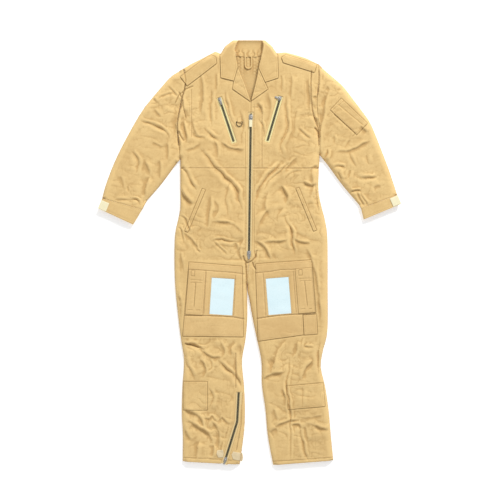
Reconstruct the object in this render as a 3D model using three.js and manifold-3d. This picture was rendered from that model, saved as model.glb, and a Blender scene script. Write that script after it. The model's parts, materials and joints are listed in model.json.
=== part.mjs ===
// A one-piece work and flying coverall, laid out flat on its back.
// Frame: millimetres, X across the body, Y from the hems to the collar, Z up from the surface it lies on.
// Outlines are written from the crotch point, and the last lines move the garment over its own middle.
import * as THREE from "three";
import { mergeVertices } from "three/addons/utils/BufferGeometryUtils.js";
import Module from "manifold-3d";

const wasm = await Module();
wasm.setup();

// ---------------------------------------------------------------- driving dimensions

// Cloth and layers
const CLOTH = 2; // a cloth panel with its turned and felled edges
const LOFT = 20; // laid height, from the floor to the top of the front panels
const LAYER_GAP = 0.3; // clear height between one layer and the next
const SEAM_GAP = 0.4; // clear line between two panels sewn edge to edge
const SEAM_WIDTH = 4; // felled seam that closes a side of the body, a leg or a sleeve
const PATCH = 1.5; // a patch pocket, a welt or a strap lying on a panel
const FOLD = 2; // a doubled collar leaf or lapel
const CURVE_STEP = 24; // length of the facets along a curved edge

// Body and legs, heights from the crotch
const LEG_LENGTH = 760;
const WAIST_HEIGHT = 345;
const ARMPIT_HEIGHT = 385;
const NECK_HEIGHT = 772; // back neck seam
const COLLAR_HEIGHT = 825; // fold at the top of the collar
const CHEST_HALF = 262;
const HIP_HALF = 288;
const CENTRE_LEAN = 8; // the centre front drifts this far to +X between the crotch and the neck

// Sleeves
const CUFF_WALL = 3;

// Zips: one size of chain for every zip
const CHAIN_SLOT = 1; // half of the clear line between the two rows of teeth
const CHAIN_HALF = 4.5; // half of the closed chain
const TAPE_HALF = 13;
const TAPE = 1;
const TOOTH = 2.6;
const PANEL_GAP_HALF = 10; // half of the opening that a zip lies in
const ZIP_RUNNING = 0.3; // clearance between slider and teeth
const SLIDER_WING = 1.5;
const SLIDER_WEB = 0.6; // half of the wedge inside a slider
const TOOTH_INSET = 8; // the rows of teeth start this far inside a tape's end
const MAIN_ZIP_LENGTH = 545;
const CHEST_ZIP_LENGTH = 190;
const POCKET_BAG_DEPTH = 5; // how far a chest pocket's bag hangs below the front panel

// Pull hung in the bridge of a slider
const BRIDGE_HALF = 1.6;
const BRIDGE_REACH = 3.2; // half length of the bridge along the pull
const BRIDGE_RISE = 4;
const PIVOT_HOLE = 1.3;
const PULL_THICKNESS = 1.4;
const EYE_CLEARANCE = 0.6; // beside the bridge
const EYE_ARM = 1.5;

// Patch pieces, straps and fittings
const WINDOW = { width: 86, height: 137 };
const WINDOW_FIT = 0.3;
const PEN_POCKET = { width: 64, height: 168 };
const CUFF_TAB = 34;
const EPAULETTE_TIP = 12; // depth of the pointed end
const RING_WIRE = 2.2;
const RING_WIDTH = 24;
const RING_DEPTH = 19;
const RING_TAB_WIDTH = 14;
const LOOP_WEBBING = 6;
const LOOP_THICK = 1.2;

// ---------------------------------------------------------------- levels

const FRONT_LOW = LOFT - CLOTH;
const ON_FRONT = LOFT + LAYER_GAP;
const SEAM_LOW = CLOTH + LAYER_GAP;
const SEAM_HIGH = FRONT_LOW - LAYER_GAP;
const TAPE_LOW = SEAM_HIGH - TAPE;
const TOOTH_LOW = TAPE_LOW - (TOOTH - TAPE) / 2;
const TOOTH_HIGH = TOOTH_LOW + TOOTH;
const WING_LOW = TOOTH_LOW - ZIP_RUNNING - SLIDER_WING;
const WING_HIGH = TOOTH_HIGH + ZIP_RUNNING + SLIDER_WING;

// ---------------------------------------------------------------- helpers for shapes

const at = (x, y) => new THREE.Vector2(x, y);
const points = (pairs) => pairs.map(([x, y]) => at(x, y));

// A smooth edge through a few points, in facets of about CURVE_STEP.
function smooth(pairs) {
  const curve = new THREE.SplineCurve(points(pairs));
  const facets = Math.max(2, Math.ceil(curve.getLength() / CURVE_STEP));
  return curve.getSpacedPoints(facets);
}

// A flat piece of an outline, from one level to another.
function plate(outline, low, high) {
  const geometry = new THREE.ExtrudeGeometry(new THREE.Shape(outline), {
    depth: high - low,
    bevelEnabled: false,
  });
  return geometry.translate(0, 0, low);
}

function block(x0, x1, y0, y1, low, high) {
  return plate([at(x0, y0), at(x1, y0), at(x1, y1), at(x0, y1)], low, high);
}

function rectangle(width, height) {
  return [
    at(-width / 2, -height / 2),
    at(width / 2, -height / 2),
    at(width / 2, height / 2),
    at(-width / 2, height / 2),
  ];
}

// Turns an outline by an angle in degrees and moves it.
function placed(outline, x, y, degrees) {
  const turn = THREE.MathUtils.degToRad(degrees);
  return outline.map((p) => p.clone().rotateAround(at(0, 0), turn).add(at(x, y)));
}

// The normal of a polyline at one of its points, pointing to its left.
function leftNormal(line, i) {
  const before = line[Math.max(i - 1, 0)];
  const after = line[Math.min(i + 1, line.length - 1)];
  const along = after.clone().sub(before).normalize();
  return at(-along.y, along.x);
}

function offset(line, distance) {
  return line.map((p, i) => p.clone().addScaledVector(leftNormal(line, i), distance));
}

// A strip beside a polyline, from one offset of it to another.
function strip(line, near, far) {
  return [...offset(line, near), ...offset(line, far).reverse()];
}

function solid(geometry) {
  const bare = geometry.clone();
  bare.deleteAttribute("normal");
  bare.deleteAttribute("uv");
  const merged = mergeVertices(bare, 1e-3);
  return new wasm.Manifold(
    new wasm.Mesh({
      numProp: 3,
      vertProperties: merged.attributes.position.array,
      triVerts: new Uint32Array(merged.index.array),
    }),
  );
}

function shape(manifold) {
  const mesh = manifold.getMesh();
  const geometry = new THREE.BufferGeometry();
  geometry.setAttribute("position", new THREE.BufferAttribute(mesh.vertProperties, 3));
  geometry.setIndex(new THREE.BufferAttribute(mesh.triVerts, 1));
  return geometry;
}

const joined = (...parts) => shape(parts.map(solid).reduce((a, b) => a.add(b)));
const cut = (body, ...tools) => shape(tools.map(solid).reduce((a, b) => a.subtract(b), solid(body)));

// ---------------------------------------------------------------- materials

const finish = (color, roughness, metalness = 0) => () =>
  new THREE.MeshStandardMaterial({ color, roughness, metalness });
const tanTwill = finish(0xe3c28c, 0.9);
const tapeCloth = finish(0xb9bb97, 0.9);
const creamLoop = finish(0xf6ecc8, 0.95);
const clearPlastic = finish(0xdff1f6, 0.25);
const blackenedBrass = finish(0x4a4638, 0.45, 0.8);
const nickel = finish(0xb8b6ad, 0.35, 0.9);

const suit = new THREE.Group();

function piece(name, geometry, material, home = suit) {
  const mesh = new THREE.Mesh(geometry, material());
  mesh.name = name;
  home.add(mesh);
  return mesh;
}

// ---------------------------------------------------------------- outlines of the body

const centreX = (y) => -CENTRE_LEAN / 2 + (CENTRE_LEAN * y) / 600;
const down = (share) => -LEG_LENGTH * share;

// Points given by how far they stand outside the chest's half width, on side -1 or 1.
const besideChest = (sign, pairs) => pairs.map(([out, y]) => [sign * (CHEST_HALF + out), y]);

// Each side: outer edge of the body, both edges of the leg, armhole, shoulder and neck opening.
const BODY = {
  left: {
    sign: -1,
    flank: [
      [-CHEST_HALF, ARMPIT_HEIGHT - 6],
      [-CHEST_HALF, 270],
      [-CHEST_HALF, 195],
      [-CHEST_HALF - 9, 148],
      [-HIP_HALF + 7, 100],
      [-HIP_HALF + 4, 15],
      [-HIP_HALF + 7, down(0.13)],
      [-270, down(0.28)],
      [-259, down(0.395)],
      [-248, down(0.5)],
      [-254, down(0.63)],
      [-256, down(0.76)],
      [-252, down(0.87)],
      [-253, down(0.995)],
    ],
    inner: [
      [-39, down(1.01)],
      [-24, down(0.87)],
      [-19, down(0.76)],
      [-22, down(0.63)],
      [-30, down(0.5)],
      [-17, down(0.395)],
      [-10, down(0.28)],
      [-11, down(0.133)],
      [-4, 0],
    ],
    armhole: besideChest(-1, [
      [-13, 718],
      [-22, 677],
      [-15, 637],
      [-3, 592],
      [6, 544],
      [11, 499],
      [6, 450],
      [0, ARMPIT_HEIGHT - 6],
    ]),
    shoulder: [
      [-112, 776],
      [-131, 783],
      [-180, 757],
      [-225, 735],
    ],
    roll: [
      [-2, 607],
      [-19, 656],
      [-37, 701],
      [-50, 746],
      [-54, NECK_HEIGHT],
    ],
  },
  right: {
    sign: 1,
    flank: [
      [CHEST_HALF, ARMPIT_HEIGHT + 9],
      [CHEST_HALF - 5, 285],
      [CHEST_HALF - 2, 240],
      [CHEST_HALF + 8, 195],
      [HIP_HALF - 6, 148],
      [HIP_HALF + 3, 80],
      [HIP_HALF + 4, down(0.13)],
      [HIP_HALF + 3, down(0.35)],
      [274, down(0.45)],
      [266, down(0.53)],
      [283, down(0.63)],
      [296, down(0.75)],
      [304, down(0.87)],
      [313, down(0.99)],
    ],
    inner: [
      [87, down(1.013)],
      [67, down(0.87)],
      [58, down(0.74)],
      [45, down(0.62)],
      [43, down(0.5)],
      [24, down(0.38)],
      [8, down(0.275)],
      [-3, down(0.19)],
      [-10.4, down(0.133)],
      [-3.4, 0],
    ],
    armhole: besideChest(1, [
      [-6, 736],
      [-2, 677],
      [-7, 637],
      [-11, 592],
      [-7, 544],
      [-1, 499],
      [0, 450],
      [0, ARMPIT_HEIGHT + 9],
    ]),
    shoulder: [
      [110, 778],
      [135, 780],
      [180, 768],
      [214, 757],
    ],
    roll: [
      [7, 607],
      [18, 648],
      [28, 692],
      [36, 739],
      [43, NECK_HEIGHT],
    ],
  },
};

// The leg and hip part of a side's outer edge, and the part above the waist seam.
function splitFlank(side) {
  const edge = smooth(side.flank);
  return {
    above: edge.filter((p) => p.y > WAIST_HEIGHT + SEAM_GAP),
    below: edge.filter((p) => p.y < WAIST_HEIGHT - SEAM_GAP),
  };
}

// ---------------------------------------------------------------- zips

// The opening that a panel keeps for a zip that runs from its bottom to its top point.
function zipFrame(bottom, top) {
  const along = top.clone().sub(bottom);
  return { bottom, length: along.length(), turn: Math.atan2(-along.x, along.y) };
}

function slanted(bottom, degrees, length) {
  const turn = THREE.MathUtils.degToRad(degrees);
  return { bottom, length, turn };
}

function zipGroup(frame) {
  const group = new THREE.Group();
  group.position.set(frame.bottom.x, frame.bottom.y, 0);
  group.rotation.z = frame.turn;
  suit.add(group);
  return group;
}

// One tape with its row of teeth, on side -1 or 1 of a straight chain.
function tape(side, length) {
  const x = (inner, outer) => [side * inner, side * outer].sort((a, b) => a - b);
  const cloth = block(...x(CHAIN_SLOT + 1, TAPE_HALF), 0, length, TAPE_LOW, SEAM_HIGH);
  const rows = [TOOTH_INSET, length - TOOTH_INSET];
  const teeth = block(...x(CHAIN_SLOT, CHAIN_HALF), ...rows, TOOTH_LOW, TOOTH_HIGH);
  return joined(cloth, teeth);
}

// A slider: a wing over the teeth, a wing under them, the wedge between, and the bridge for the pull.
// `across` turns the bridge so that its pull lies beside the chain.
function sliderShape(half, length, across) {
  const nose = length / 2;
  const wing = [
    at(-half * 0.72, -nose),
    at(half * 0.72, -nose),
    at(half, -nose * 0.2),
    at(half * 0.9, nose),
    at(-half * 0.9, nose),
    at(-half, -nose * 0.2),
  ];
  const upper = plate(wing, WING_HIGH - SLIDER_WING, WING_HIGH);
  const lower = plate(wing, WING_LOW, WING_LOW + SLIDER_WING);
  const wedge = block(-SLIDER_WEB, SLIDER_WEB, -1, nose - 1, WING_LOW, WING_HIGH);
  const bridge = block(
    -BRIDGE_HALF, BRIDGE_HALF, -BRIDGE_REACH, BRIDGE_REACH,
    WING_HIGH - 0.5, WING_HIGH + BRIDGE_RISE,
  );
  const hole = new THREE.CylinderGeometry(PIVOT_HOLE, PIVOT_HOLE, 4 * BRIDGE_REACH, 16);
  hole.rotateZ(Math.PI / 2).translate(0, 0, PIVOT_HEIGHT);
  const drilled = cut(bridge, hole);
  if (across) drilled.rotateZ(-Math.PI / 2);
  return joined(upper, lower, wedge, drilled);
}

const PIVOT_HEIGHT = WING_HIGH + BRIDGE_RISE / 2 + 0.1;

// A pull about its own pivot: a bar through the bridge, an eye round it, and a tongue along -Y.
function pullShape(width, length) {
  const half = PULL_THICKNESS / 2;
  const inside = BRIDGE_HALF + EYE_CLEARANCE;
  const outside = inside + EYE_ARM;
  const eyeEnd = -(BRIDGE_REACH + PULL_THICKNESS + EYE_CLEARANCE);
  const eye = new THREE.Shape([
    at(-outside, half),
    at(-outside, eyeEnd - 1),
    at(-width / 2, eyeEnd - 4),
    at(-width / 2, -length + 2),
    at(-width / 2 + 2, -length),
    at(width / 2 - 2, -length),
    at(width / 2, -length + 2),
    at(width / 2, eyeEnd - 4),
    at(outside, eyeEnd - 1),
    at(outside, half),
  ]);
  const window = [at(-inside, -half), at(inside, -half), at(inside, eyeEnd), at(-inside, eyeEnd)];
  eye.holes.push(new THREE.Path(window));
  const geometry = new THREE.ExtrudeGeometry(eye, { depth: PULL_THICKNESS, bevelEnabled: false });
  return geometry.translate(0, 0, -half);
}

// Slider and pull of one zip, with the slider's middle at a height along the chain.
function addSlider(group, names, size, height, across = false) {
  const slider = piece(names.slider, sliderShape(size.half, size.length, across), nickel, group);
  slider.position.y = height;
  const pull = piece(names.pull, pullShape(size.pullWidth, size.pullLength), size.finish, slider);
  pull.position.z = PIVOT_HEIGHT;
  if (across) pull.rotation.z = -Math.PI / 2;
}

// A straight pocket zip, its two tapes sewn together at both ends.
function pocketZip(name, frame) {
  const group = zipGroup(frame);
  const end = (y) => block(-TAPE_HALF, TAPE_HALF, y, y + 4, TAPE_LOW, SEAM_HIGH);
  const tapes = joined(tape(-1, frame.length), tape(1, frame.length), end(0), end(frame.length - 4));
  piece(name, tapes, blackenedBrass, group);
  return group;
}

const zipSlot = (frame) =>
  placed(
    [
      at(-PANEL_GAP_HALF, 5),
      at(PANEL_GAP_HALF, 5),
      at(PANEL_GAP_HALF, frame.length - 5),
      at(-PANEL_GAP_HALF, frame.length - 5),
    ],
    frame.bottom.x,
    frame.bottom.y,
    THREE.MathUtils.radToDeg(frame.turn),
  );

const MAIN_SLIDER = { half: 7, length: 24, pullWidth: 12, pullLength: 34, finish: creamLoop };
const LOWER_SLIDER = { half: 7, length: 22, pullWidth: 8, pullLength: 20, finish: nickel };
const POCKET_SLIDER = { half: 6, length: 16, pullWidth: 7, pullLength: 20, finish: nickel };

const MAIN_ZIP_BOTTOM = 8;
const mainZip = zipFrame(
  at(centreX(MAIN_ZIP_BOTTOM), MAIN_ZIP_BOTTOM),
  at(centreX(MAIN_ZIP_BOTTOM + MAIN_ZIP_LENGTH), MAIN_ZIP_BOTTOM + MAIN_ZIP_LENGTH),
);
const mainGroup = zipGroup(mainZip);
piece("zip_tape_left", tape(-1, mainZip.length), tapeCloth, mainGroup);
piece("zip_tape_right", tape(1, mainZip.length), tapeCloth, mainGroup);
const UPPER_REST = mainZip.length - 20;
addSlider(mainGroup, { slider: "zip_slider_upper", pull: "zip_pull_upper" }, MAIN_SLIDER, UPPER_REST);
addSlider(mainGroup, { slider: "zip_slider_lower", pull: "zip_pull_lower" }, LOWER_SLIDER, 15);

// A chest zip slants from its top near the armhole side down towards the centre front.
const chestZip = {
  left: slanted(at(-57, 434), 18.5, CHEST_ZIP_LENGTH),
  right: slanted(at(62, 437), -16.5, CHEST_ZIP_LENGTH),
};
for (const side of ["left", "right"]) {
  const group = pocketZip("chest_zip_" + side, chestZip[side]);
  const names = { slider: "chest_slider_" + side, pull: "chest_pull_" + side };
  addSlider(group, names, POCKET_SLIDER, chestZip[side].length - 14, side === "right");
}

// The ankle zip bends a little at mid calf and ends at the hem.
const ANKLE = { top: at(-42, down(0.645)), bend: at(-48, down(0.797)), hem: at(-97, down(1.004)) };
const ankleLine = (start) => [at(ANKLE.top.x, ANKLE.top.y - start), ANKLE.bend, ANKLE.hem];
const ankleRow = (start, near, far, low, high) => plate(strip(ankleLine(start), near, far), low, high);
const ankleTopX = [ANKLE.top.x - TAPE_HALF, ANKLE.top.x + TAPE_HALF];
const ankleTapes = joined(
  ankleRow(0, CHAIN_SLOT + 1, TAPE_HALF, TAPE_LOW, SEAM_HIGH),
  ankleRow(0, -TAPE_HALF, -CHAIN_SLOT - 1, TAPE_LOW, SEAM_HIGH),
  ankleRow(TOOTH_INSET, CHAIN_SLOT, CHAIN_HALF, TOOTH_LOW, TOOTH_HIGH),
  ankleRow(TOOTH_INSET, -CHAIN_HALF, -CHAIN_SLOT, TOOTH_LOW, TOOTH_HIGH),
  block(...ankleTopX, ANKLE.top.y - 6, ANKLE.top.y - 1, TAPE_LOW, SEAM_HIGH),
);
piece("ankle_zip", ankleTapes, blackenedBrass);
const ankleGroup = zipGroup(zipFrame(ANKLE.hem, ANKLE.bend));
addSlider(ankleGroup, { slider: "ankle_slider", pull: "ankle_pull" }, POCKET_SLIDER, 16);

// ---------------------------------------------------------------- front and back of the body

for (const name of ["left", "right"]) {
  const side = BODY[name];
  const inward = -side.sign;
  const centre = (y, clear) => at(centreX(y) - inward * clear, y);
  const { above, below } = splitFlank(side);
  const seamY = WAIST_HEIGHT;
  const zipTop = MAIN_ZIP_BOTTOM + mainZip.length + 1;

  // Bodice front: waist, centre front, neck opening, shoulder, armhole, side.
  const bodice = [
    at(above[above.length - 1].x, seamY + SEAM_GAP / 2),
    centre(seamY + SEAM_GAP / 2, PANEL_GAP_HALF),
    centre(zipTop, PANEL_GAP_HALF),
    centre(zipTop, SEAM_GAP / 2),
    centre(596, SEAM_GAP / 2),
    ...smooth(side.roll),
    ...points(side.shoulder),
    ...smooth(side.armhole).slice(0, -1),
    ...above,
  ];
  const front = cut(
    plate(bodice, FRONT_LOW, LOFT),
    plate(zipSlot(chestZip[name]), FRONT_LOW - 1, LOFT + 1),
  );
  piece("bodice_front_" + name, front, tanTwill);

  // Trouser front: waist, centre front down to the crotch, inner leg, hem, outer leg.
  const innerEdge = smooth(side.inner);
  const trouser = [
    at(below[0].x, seamY - SEAM_GAP / 2),
    ...below,
    ...innerEdge,
    centre(MAIN_ZIP_BOTTOM - 2, SEAM_GAP / 2),
    centre(MAIN_ZIP_BOTTOM - 2, PANEL_GAP_HALF),
    centre(seamY - SEAM_GAP / 2, PANEL_GAP_HALF),
  ];
  let leg = plate(trouser, FRONT_LOW, LOFT);
  if (name === "left") {
    const beyondHem = ANKLE.hem.clone().lerp(ANKLE.bend, -0.25);
    const opening = [at(ANKLE.top.x, ANKLE.top.y - 6), ANKLE.bend, beyondHem];
    leg = cut(leg, plate(strip(opening, -PANEL_GAP_HALF, PANEL_GAP_HALF), FRONT_LOW - 1, LOFT + 1));
  }
  piece("trouser_front_" + name, leg, tanTwill);

  // Trouser back: the same outline closed along the centre seam.
  const seat = [
    at(below[0].x, seamY - SEAM_GAP / 2),
    ...below,
    ...innerEdge,
    centre(seamY - SEAM_GAP / 2, SEAM_GAP / 2),
  ];
  piece("trouser_back_" + name, plate(seat, 0, CLOTH), tanTwill);

  // Felled seams that close the flank, from the armpit to the hem, and the inside leg.
  const hidden = 1; // seams stand this far inside the panel edges
  const flank = smooth(side.flank);
  const flankStrip = strip(flank, side.sign * -hidden, side.sign * -(hidden + SEAM_WIDTH));
  piece("side_seam_" + name, plate(flankStrip, SEAM_LOW, SEAM_HIGH), tanTwill);
  const inseam = innerEdge.filter((p) => p.y < down(0.1));
  const inseamStrip = strip(inseam, side.sign * -hidden, side.sign * -(hidden + SEAM_WIDTH));
  piece("inseam_" + name, plate(inseamStrip, SEAM_LOW, SEAM_HIGH), tanTwill);
}

// Bodice back: one piece from the waist seam to the shoulders and the back neck seam.
const backSide = (side) => [
  ...points(side.shoulder),
  ...smooth(side.armhole).slice(0, -1),
  ...splitFlank(side).above,
  at(splitFlank(side).above.at(-1).x, WAIST_HEIGHT + SEAM_GAP / 2),
];
const bodiceBack = [...backSide(BODY.left), ...backSide(BODY.right).reverse()];
piece("bodice_back", plate(bodiceBack, 0, CLOTH), tanTwill);

// Chest pocket bags: shallow trays whose rims are sewn to the inside of the bodice front.
const BAG_WIDTH = 150;
const BAG_RIM = 4;
for (const name of ["left", "right"]) {
  const zip = chestZip[name];
  const low = WAIST_HEIGHT + 8;
  const high = zip.bottom.y + Math.cos(zip.turn) * zip.length + 14;
  const middle = [BODY[name].sign * (BAG_WIDTH / 2 + 25), (low + high) / 2, 0];
  const outside = placed(rectangle(BAG_WIDTH, high - low), ...middle);
  const inside = placed(rectangle(BAG_WIDTH - 2 * BAG_RIM, high - low - 2 * BAG_RIM), ...middle);
  const floor = SEAM_HIGH - POCKET_BAG_DEPTH;
  const tray = cut(plate(outside, floor, SEAM_HIGH), plate(inside, floor + 1, SEAM_HIGH + 1));
  piece("chest_pocket_" + name, tray, tanTwill);
}

// ---------------------------------------------------------------- sleeves and cuffs

const SLEEVE = {
  left: {
    outer: besideChest(-1, [
      [34, 690],
      [75, 645],
      [113, 600],
      [147, 555],
      [199, 465],
      [244, 375],
      [279, 285],
      [293, 232],
    ]),
    end: besideChest(-1, [
      [143, 190],
      [126, 223],
    ]),
    under: besideChest(-1, [
      [72, 285],
      [23, 351],
    ]),
    cuffEnd: besideChest(-1, [
      [177, 133],
      [307, 193],
    ]),
    tabHinge: besideChest(-1, [[272, 197]]),
    tabTurn: -112.5,
  },
  right: {
    outer: besideChest(1, [
      [19, 712],
      [72, 667],
      [94, 645],
      [128, 600],
      [162, 555],
      [192, 510],
      [229, 420],
      [263, 330],
      [291, 245],
    ]),
    end: besideChest(1, [
      [155, 194],
      [148, 208],
    ]),
    under: besideChest(1, [
      [83, 285],
      [34, 352],
    ]),
    cuffEnd: besideChest(1, [
      [165, 152],
      [300, 208],
    ]),
    tabHinge: besideChest(1, [[269, 214.5]]),
    tabTurn: 114,
  },
};

for (const name of ["left", "right"]) {
  const { outer, end, under, cuffEnd } = SLEEVE[name];
  const sign = BODY[name].sign;
  const seamSide = smooth(BODY[name].armhole).map((p) => at(p.x + sign * SEAM_GAP * 1.5, p.y));
  const overarm = smooth([[seamSide[0].x, seamSide[0].y], ...outer]);
  const armpit = seamSide.at(-1);
  const underarm = smooth([end[1], ...under, [armpit.x, armpit.y]]);
  const outline = [...overarm, at(...end[0]), ...underarm, ...seamSide.slice(1, -1).reverse()];
  piece("sleeve_front_" + name, plate(outline, FRONT_LOW, LOFT), tanTwill);
  piece("sleeve_back_" + name, plate(outline, 0, CLOTH), tanTwill);

  const overStrip = strip(overarm.slice(1), sign * -1, sign * -(1 + SEAM_WIDTH));
  piece("overarm_seam_" + name, plate(overStrip, SEAM_LOW, SEAM_HIGH), tanTwill);
  const underStrip = strip(underarm.slice(0, -1), sign * -1, sign * -(1 + SEAM_WIDTH));
  piece("underarm_seam_" + name, plate(underStrip, SEAM_LOW, SEAM_HIGH), tanTwill);

  // Cuff: a flattened band, open at both ends, below the sleeve's end.
  const top = [at(...outer.at(-1)), at(...end[0])];
  const drop = at(...cuffEnd[1]).sub(top[0]).setLength(SEAM_GAP);
  const band = [top[0].clone().add(drop), top[1].clone().add(drop), at(...cuffEnd[0]), at(...cuffEnd[1])];
  const across = band[1].clone().sub(band[0]).normalize();
  const along = band[3].clone().sub(band[0]).normalize();
  const through = 9; // the hollow is cut this far past both ends of the band
  const inset = (corner, inward, outward) =>
    corner.clone().addScaledVector(across, inward * CUFF_WALL).addScaledVector(along, outward * through);
  const hollow = [inset(band[0], 1, -1), inset(band[1], -1, -1), inset(band[2], -1, 1), inset(band[3], 1, 1)];
  const cuff = cut(plate(band, 0, LOFT), plate(hollow, CLOTH, FRONT_LOW));
  piece("cuff_" + name, cuff, tanTwill);

  // Closing tab of the cuff, turned open: sewn down at its inner end, its fastening face up.
  const { tabHinge, tabTurn } = SLEEVE[name];
  const flap = placed(rectangle(CUFF_TAB, CUFF_TAB - 2), 0, -(CUFF_TAB - 2) / 2, 0);
  const tab = piece("cuff_tab_" + name, plate(flap, -PATCH / 2, PATCH / 2), creamLoop);
  tab.position.set(...tabHinge[0], ON_FRONT + PATCH / 2);
  tab.rotation.z = THREE.MathUtils.degToRad(tabTurn);
}

// ---------------------------------------------------------------- collar, lapels and shoulders

const LEAF = {
  left: [
    [-112, NECK_HEIGHT],
    [-109, 684],
    [-61, 672],
    [-46.5, 724],
    [-50, 746],
    [-54, NECK_HEIGHT],
    [-56, 791],
    [-64, COLLAR_HEIGHT],
    [-94, COLLAR_HEIGHT - 23],
  ],
  right: [
    [103, NECK_HEIGHT],
    [106, 683],
    [57, 667],
    [33, 720],
    [36, 739],
    [43, NECK_HEIGHT],
    [47, 787],
    [56, COLLAR_HEIGHT],
    [82, COLLAR_HEIGHT - 22],
  ],
};
const LAPEL = {
  left: [
    [-60.4, 671],
    [-65, 641],
    [2.8, 594],
    [-2, 607],
    [-19, 656],
    [-37, 701],
    [-45.6, 722],
  ],
  right: [
    [56, 665.5],
    [67, 641],
    [5, 597],
    [7, 607],
    [18, 648],
    [28, 692],
    [32.4, 718],
  ],
};

// The outer edge of a leaf, from a height above the neck seam to the top of the collar.
function collarEdge(name, aboveNeck) {
  const [neck, shoulder, top] = [LEAF[name][0], LEAF[name].at(-1), LEAF[name].at(-2)];
  return points([[neck[0], neck[1] + aboveNeck], shoulder, top]);
}

// The collar is one piece: its stand lies flat at the back and folds over at both ends into the front leaves.
const NECK_OVERLAP = 8;
const COLLAR_FOLD = { wall: 3, aboveNeck: 9 };
const stand = [
  at(LEAF.left[0][0], NECK_HEIGHT - NECK_OVERLAP),
  at(LEAF.right[0][0], NECK_HEIGHT - NECK_OVERLAP),
  ...collarEdge("right", 0),
  ...collarEdge("left", 0).reverse(),
];
function foldWall(name) {
  const outline = strip(collarEdge(name, COLLAR_FOLD.aboveNeck), 0, BODY[name].sign * COLLAR_FOLD.wall);
  return plate(outline, SEAM_LOW, ON_FRONT + FOLD);
}
const collar = joined(
  plate(points(LEAF.left), ON_FRONT, ON_FRONT + FOLD),
  plate(points(LEAF.right), ON_FRONT, ON_FRONT + FOLD),
  plate(stand, SEAM_LOW, SEAM_LOW + FOLD),
  foldWall("left"),
  foldWall("right"),
);
piece("collar", collar, tanTwill);
for (const name of ["left", "right"])
  piece("lapel_" + name, plate(points(LAPEL[name]), ON_FRONT, ON_FRONT + FOLD), tanTwill);

// Shoulder straps, sewn in at the sleeve end and free at the neck end.
const EPAULETTE = {
  left: { hinge: besideChest(-1, [[-14, 670]]), turn: 127.5, width: 42, length: 150 },
  right: { hinge: besideChest(1, [[-16, 719]]), turn: -107.3, width: 32, length: 134 },
};
for (const name of ["left", "right"]) {
  const { hinge, turn, width, length } = EPAULETTE[name];
  const outline = points([
    [-width / 2, 0],
    [-width / 2, -(length - EPAULETTE_TIP)],
    [0, -length],
    [width / 2, -(length - EPAULETTE_TIP)],
    [width / 2, 0],
  ]);
  const strap = piece("epaulette_" + name, plate(outline, -FOLD / 2, FOLD / 2), tanTwill);
  strap.position.set(...hinge[0], ON_FRONT + FOLD / 2);
  strap.rotation.z = THREE.MathUtils.degToRad(turn);
}

// Hanging loop of narrow webbing, sewn in at the back neck seam.
const LOOP_HALF = 12;
const LOOP_DROP = 54;
const loopBend = Array.from({ length: 9 }, (_, i) => {
  const angle = Math.PI + (Math.PI * i) / 8;
  return at(LOOP_HALF * Math.cos(angle), -(LOOP_DROP - LOOP_HALF) + LOOP_HALF * Math.sin(angle));
});
const loopLine = [at(-LOOP_HALF, 0), ...loopBend, at(LOOP_HALF, 0)];
const loopOutline = strip(loopLine, -LOOP_WEBBING / 2, LOOP_WEBBING / 2);
const loop = piece("hanger_loop", plate(loopOutline, -LOOP_THICK / 2, LOOP_THICK / 2), tanTwill);
loop.position.set(-6, NECK_HEIGHT + 2, SEAM_LOW + FOLD + LAYER_GAP + LOOP_THICK / 2);

// ---------------------------------------------------------------- chest ring

const RING_HOLE = RING_WIRE * Math.SQRT1_2 + 0.35; // inside radius of the fold that holds the bar
const FOLD_RADIUS = RING_HOLE + 1;
const RING_AXIS = at(-40, 518);

function ringShape() {
  const half = RING_WIDTH / 2;
  const bend = RING_WIRE / 2 + half - RING_DEPTH;
  const outer = new THREE.Shape();
  outer.moveTo(-half, RING_WIRE / 2);
  outer.lineTo(-half, bend);
  outer.absarc(0, bend, half, Math.PI, 2 * Math.PI, false);
  outer.lineTo(half, RING_WIRE / 2);
  const inner = new THREE.Path();
  inner.moveTo(-half + RING_WIRE, -RING_WIRE / 2);
  inner.lineTo(-half + RING_WIRE, bend);
  inner.absarc(0, bend, half - RING_WIRE, Math.PI, 2 * Math.PI, false);
  inner.lineTo(half - RING_WIRE, -RING_WIRE / 2);
  outer.holes.push(inner);
  const options = { depth: RING_WIRE, bevelEnabled: false, curveSegments: 12 };
  return new THREE.ExtrudeGeometry(outer, options).translate(0, 0, -RING_WIRE / 2);
}

function acrossCylinder(radius, length) {
  return new THREE.CylinderGeometry(radius, radius, length, 20).rotateZ(Math.PI / 2);
}

const RING_TAB_LENGTH = 17;
const tabHalf = RING_TAB_WIDTH / 2;
const tabTail = block(-tabHalf, tabHalf, 0, RING_TAB_LENGTH, -FOLD_RADIUS, -RING_HOLE);
const ringTab = cut(
  joined(acrossCylinder(FOLD_RADIUS, RING_TAB_WIDTH), tabTail),
  acrossCylinder(RING_HOLE, RING_TAB_WIDTH + 2),
);
const ringPlace = [RING_AXIS.x, RING_AXIS.y, ON_FRONT + FOLD_RADIUS];
piece("ring_tab", ringTab, tanTwill).position.set(...ringPlace);
piece("chest_ring", ringShape(), blackenedBrass).position.set(...ringPlace);

// ---------------------------------------------------------------- pockets

const patch = (name, outline, layer = 0) => {
  const low = ON_FRONT + layer * (PATCH + LAYER_GAP);
  return piece(name, plate(outline, low, low + PATCH), tanTwill);
};

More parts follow.
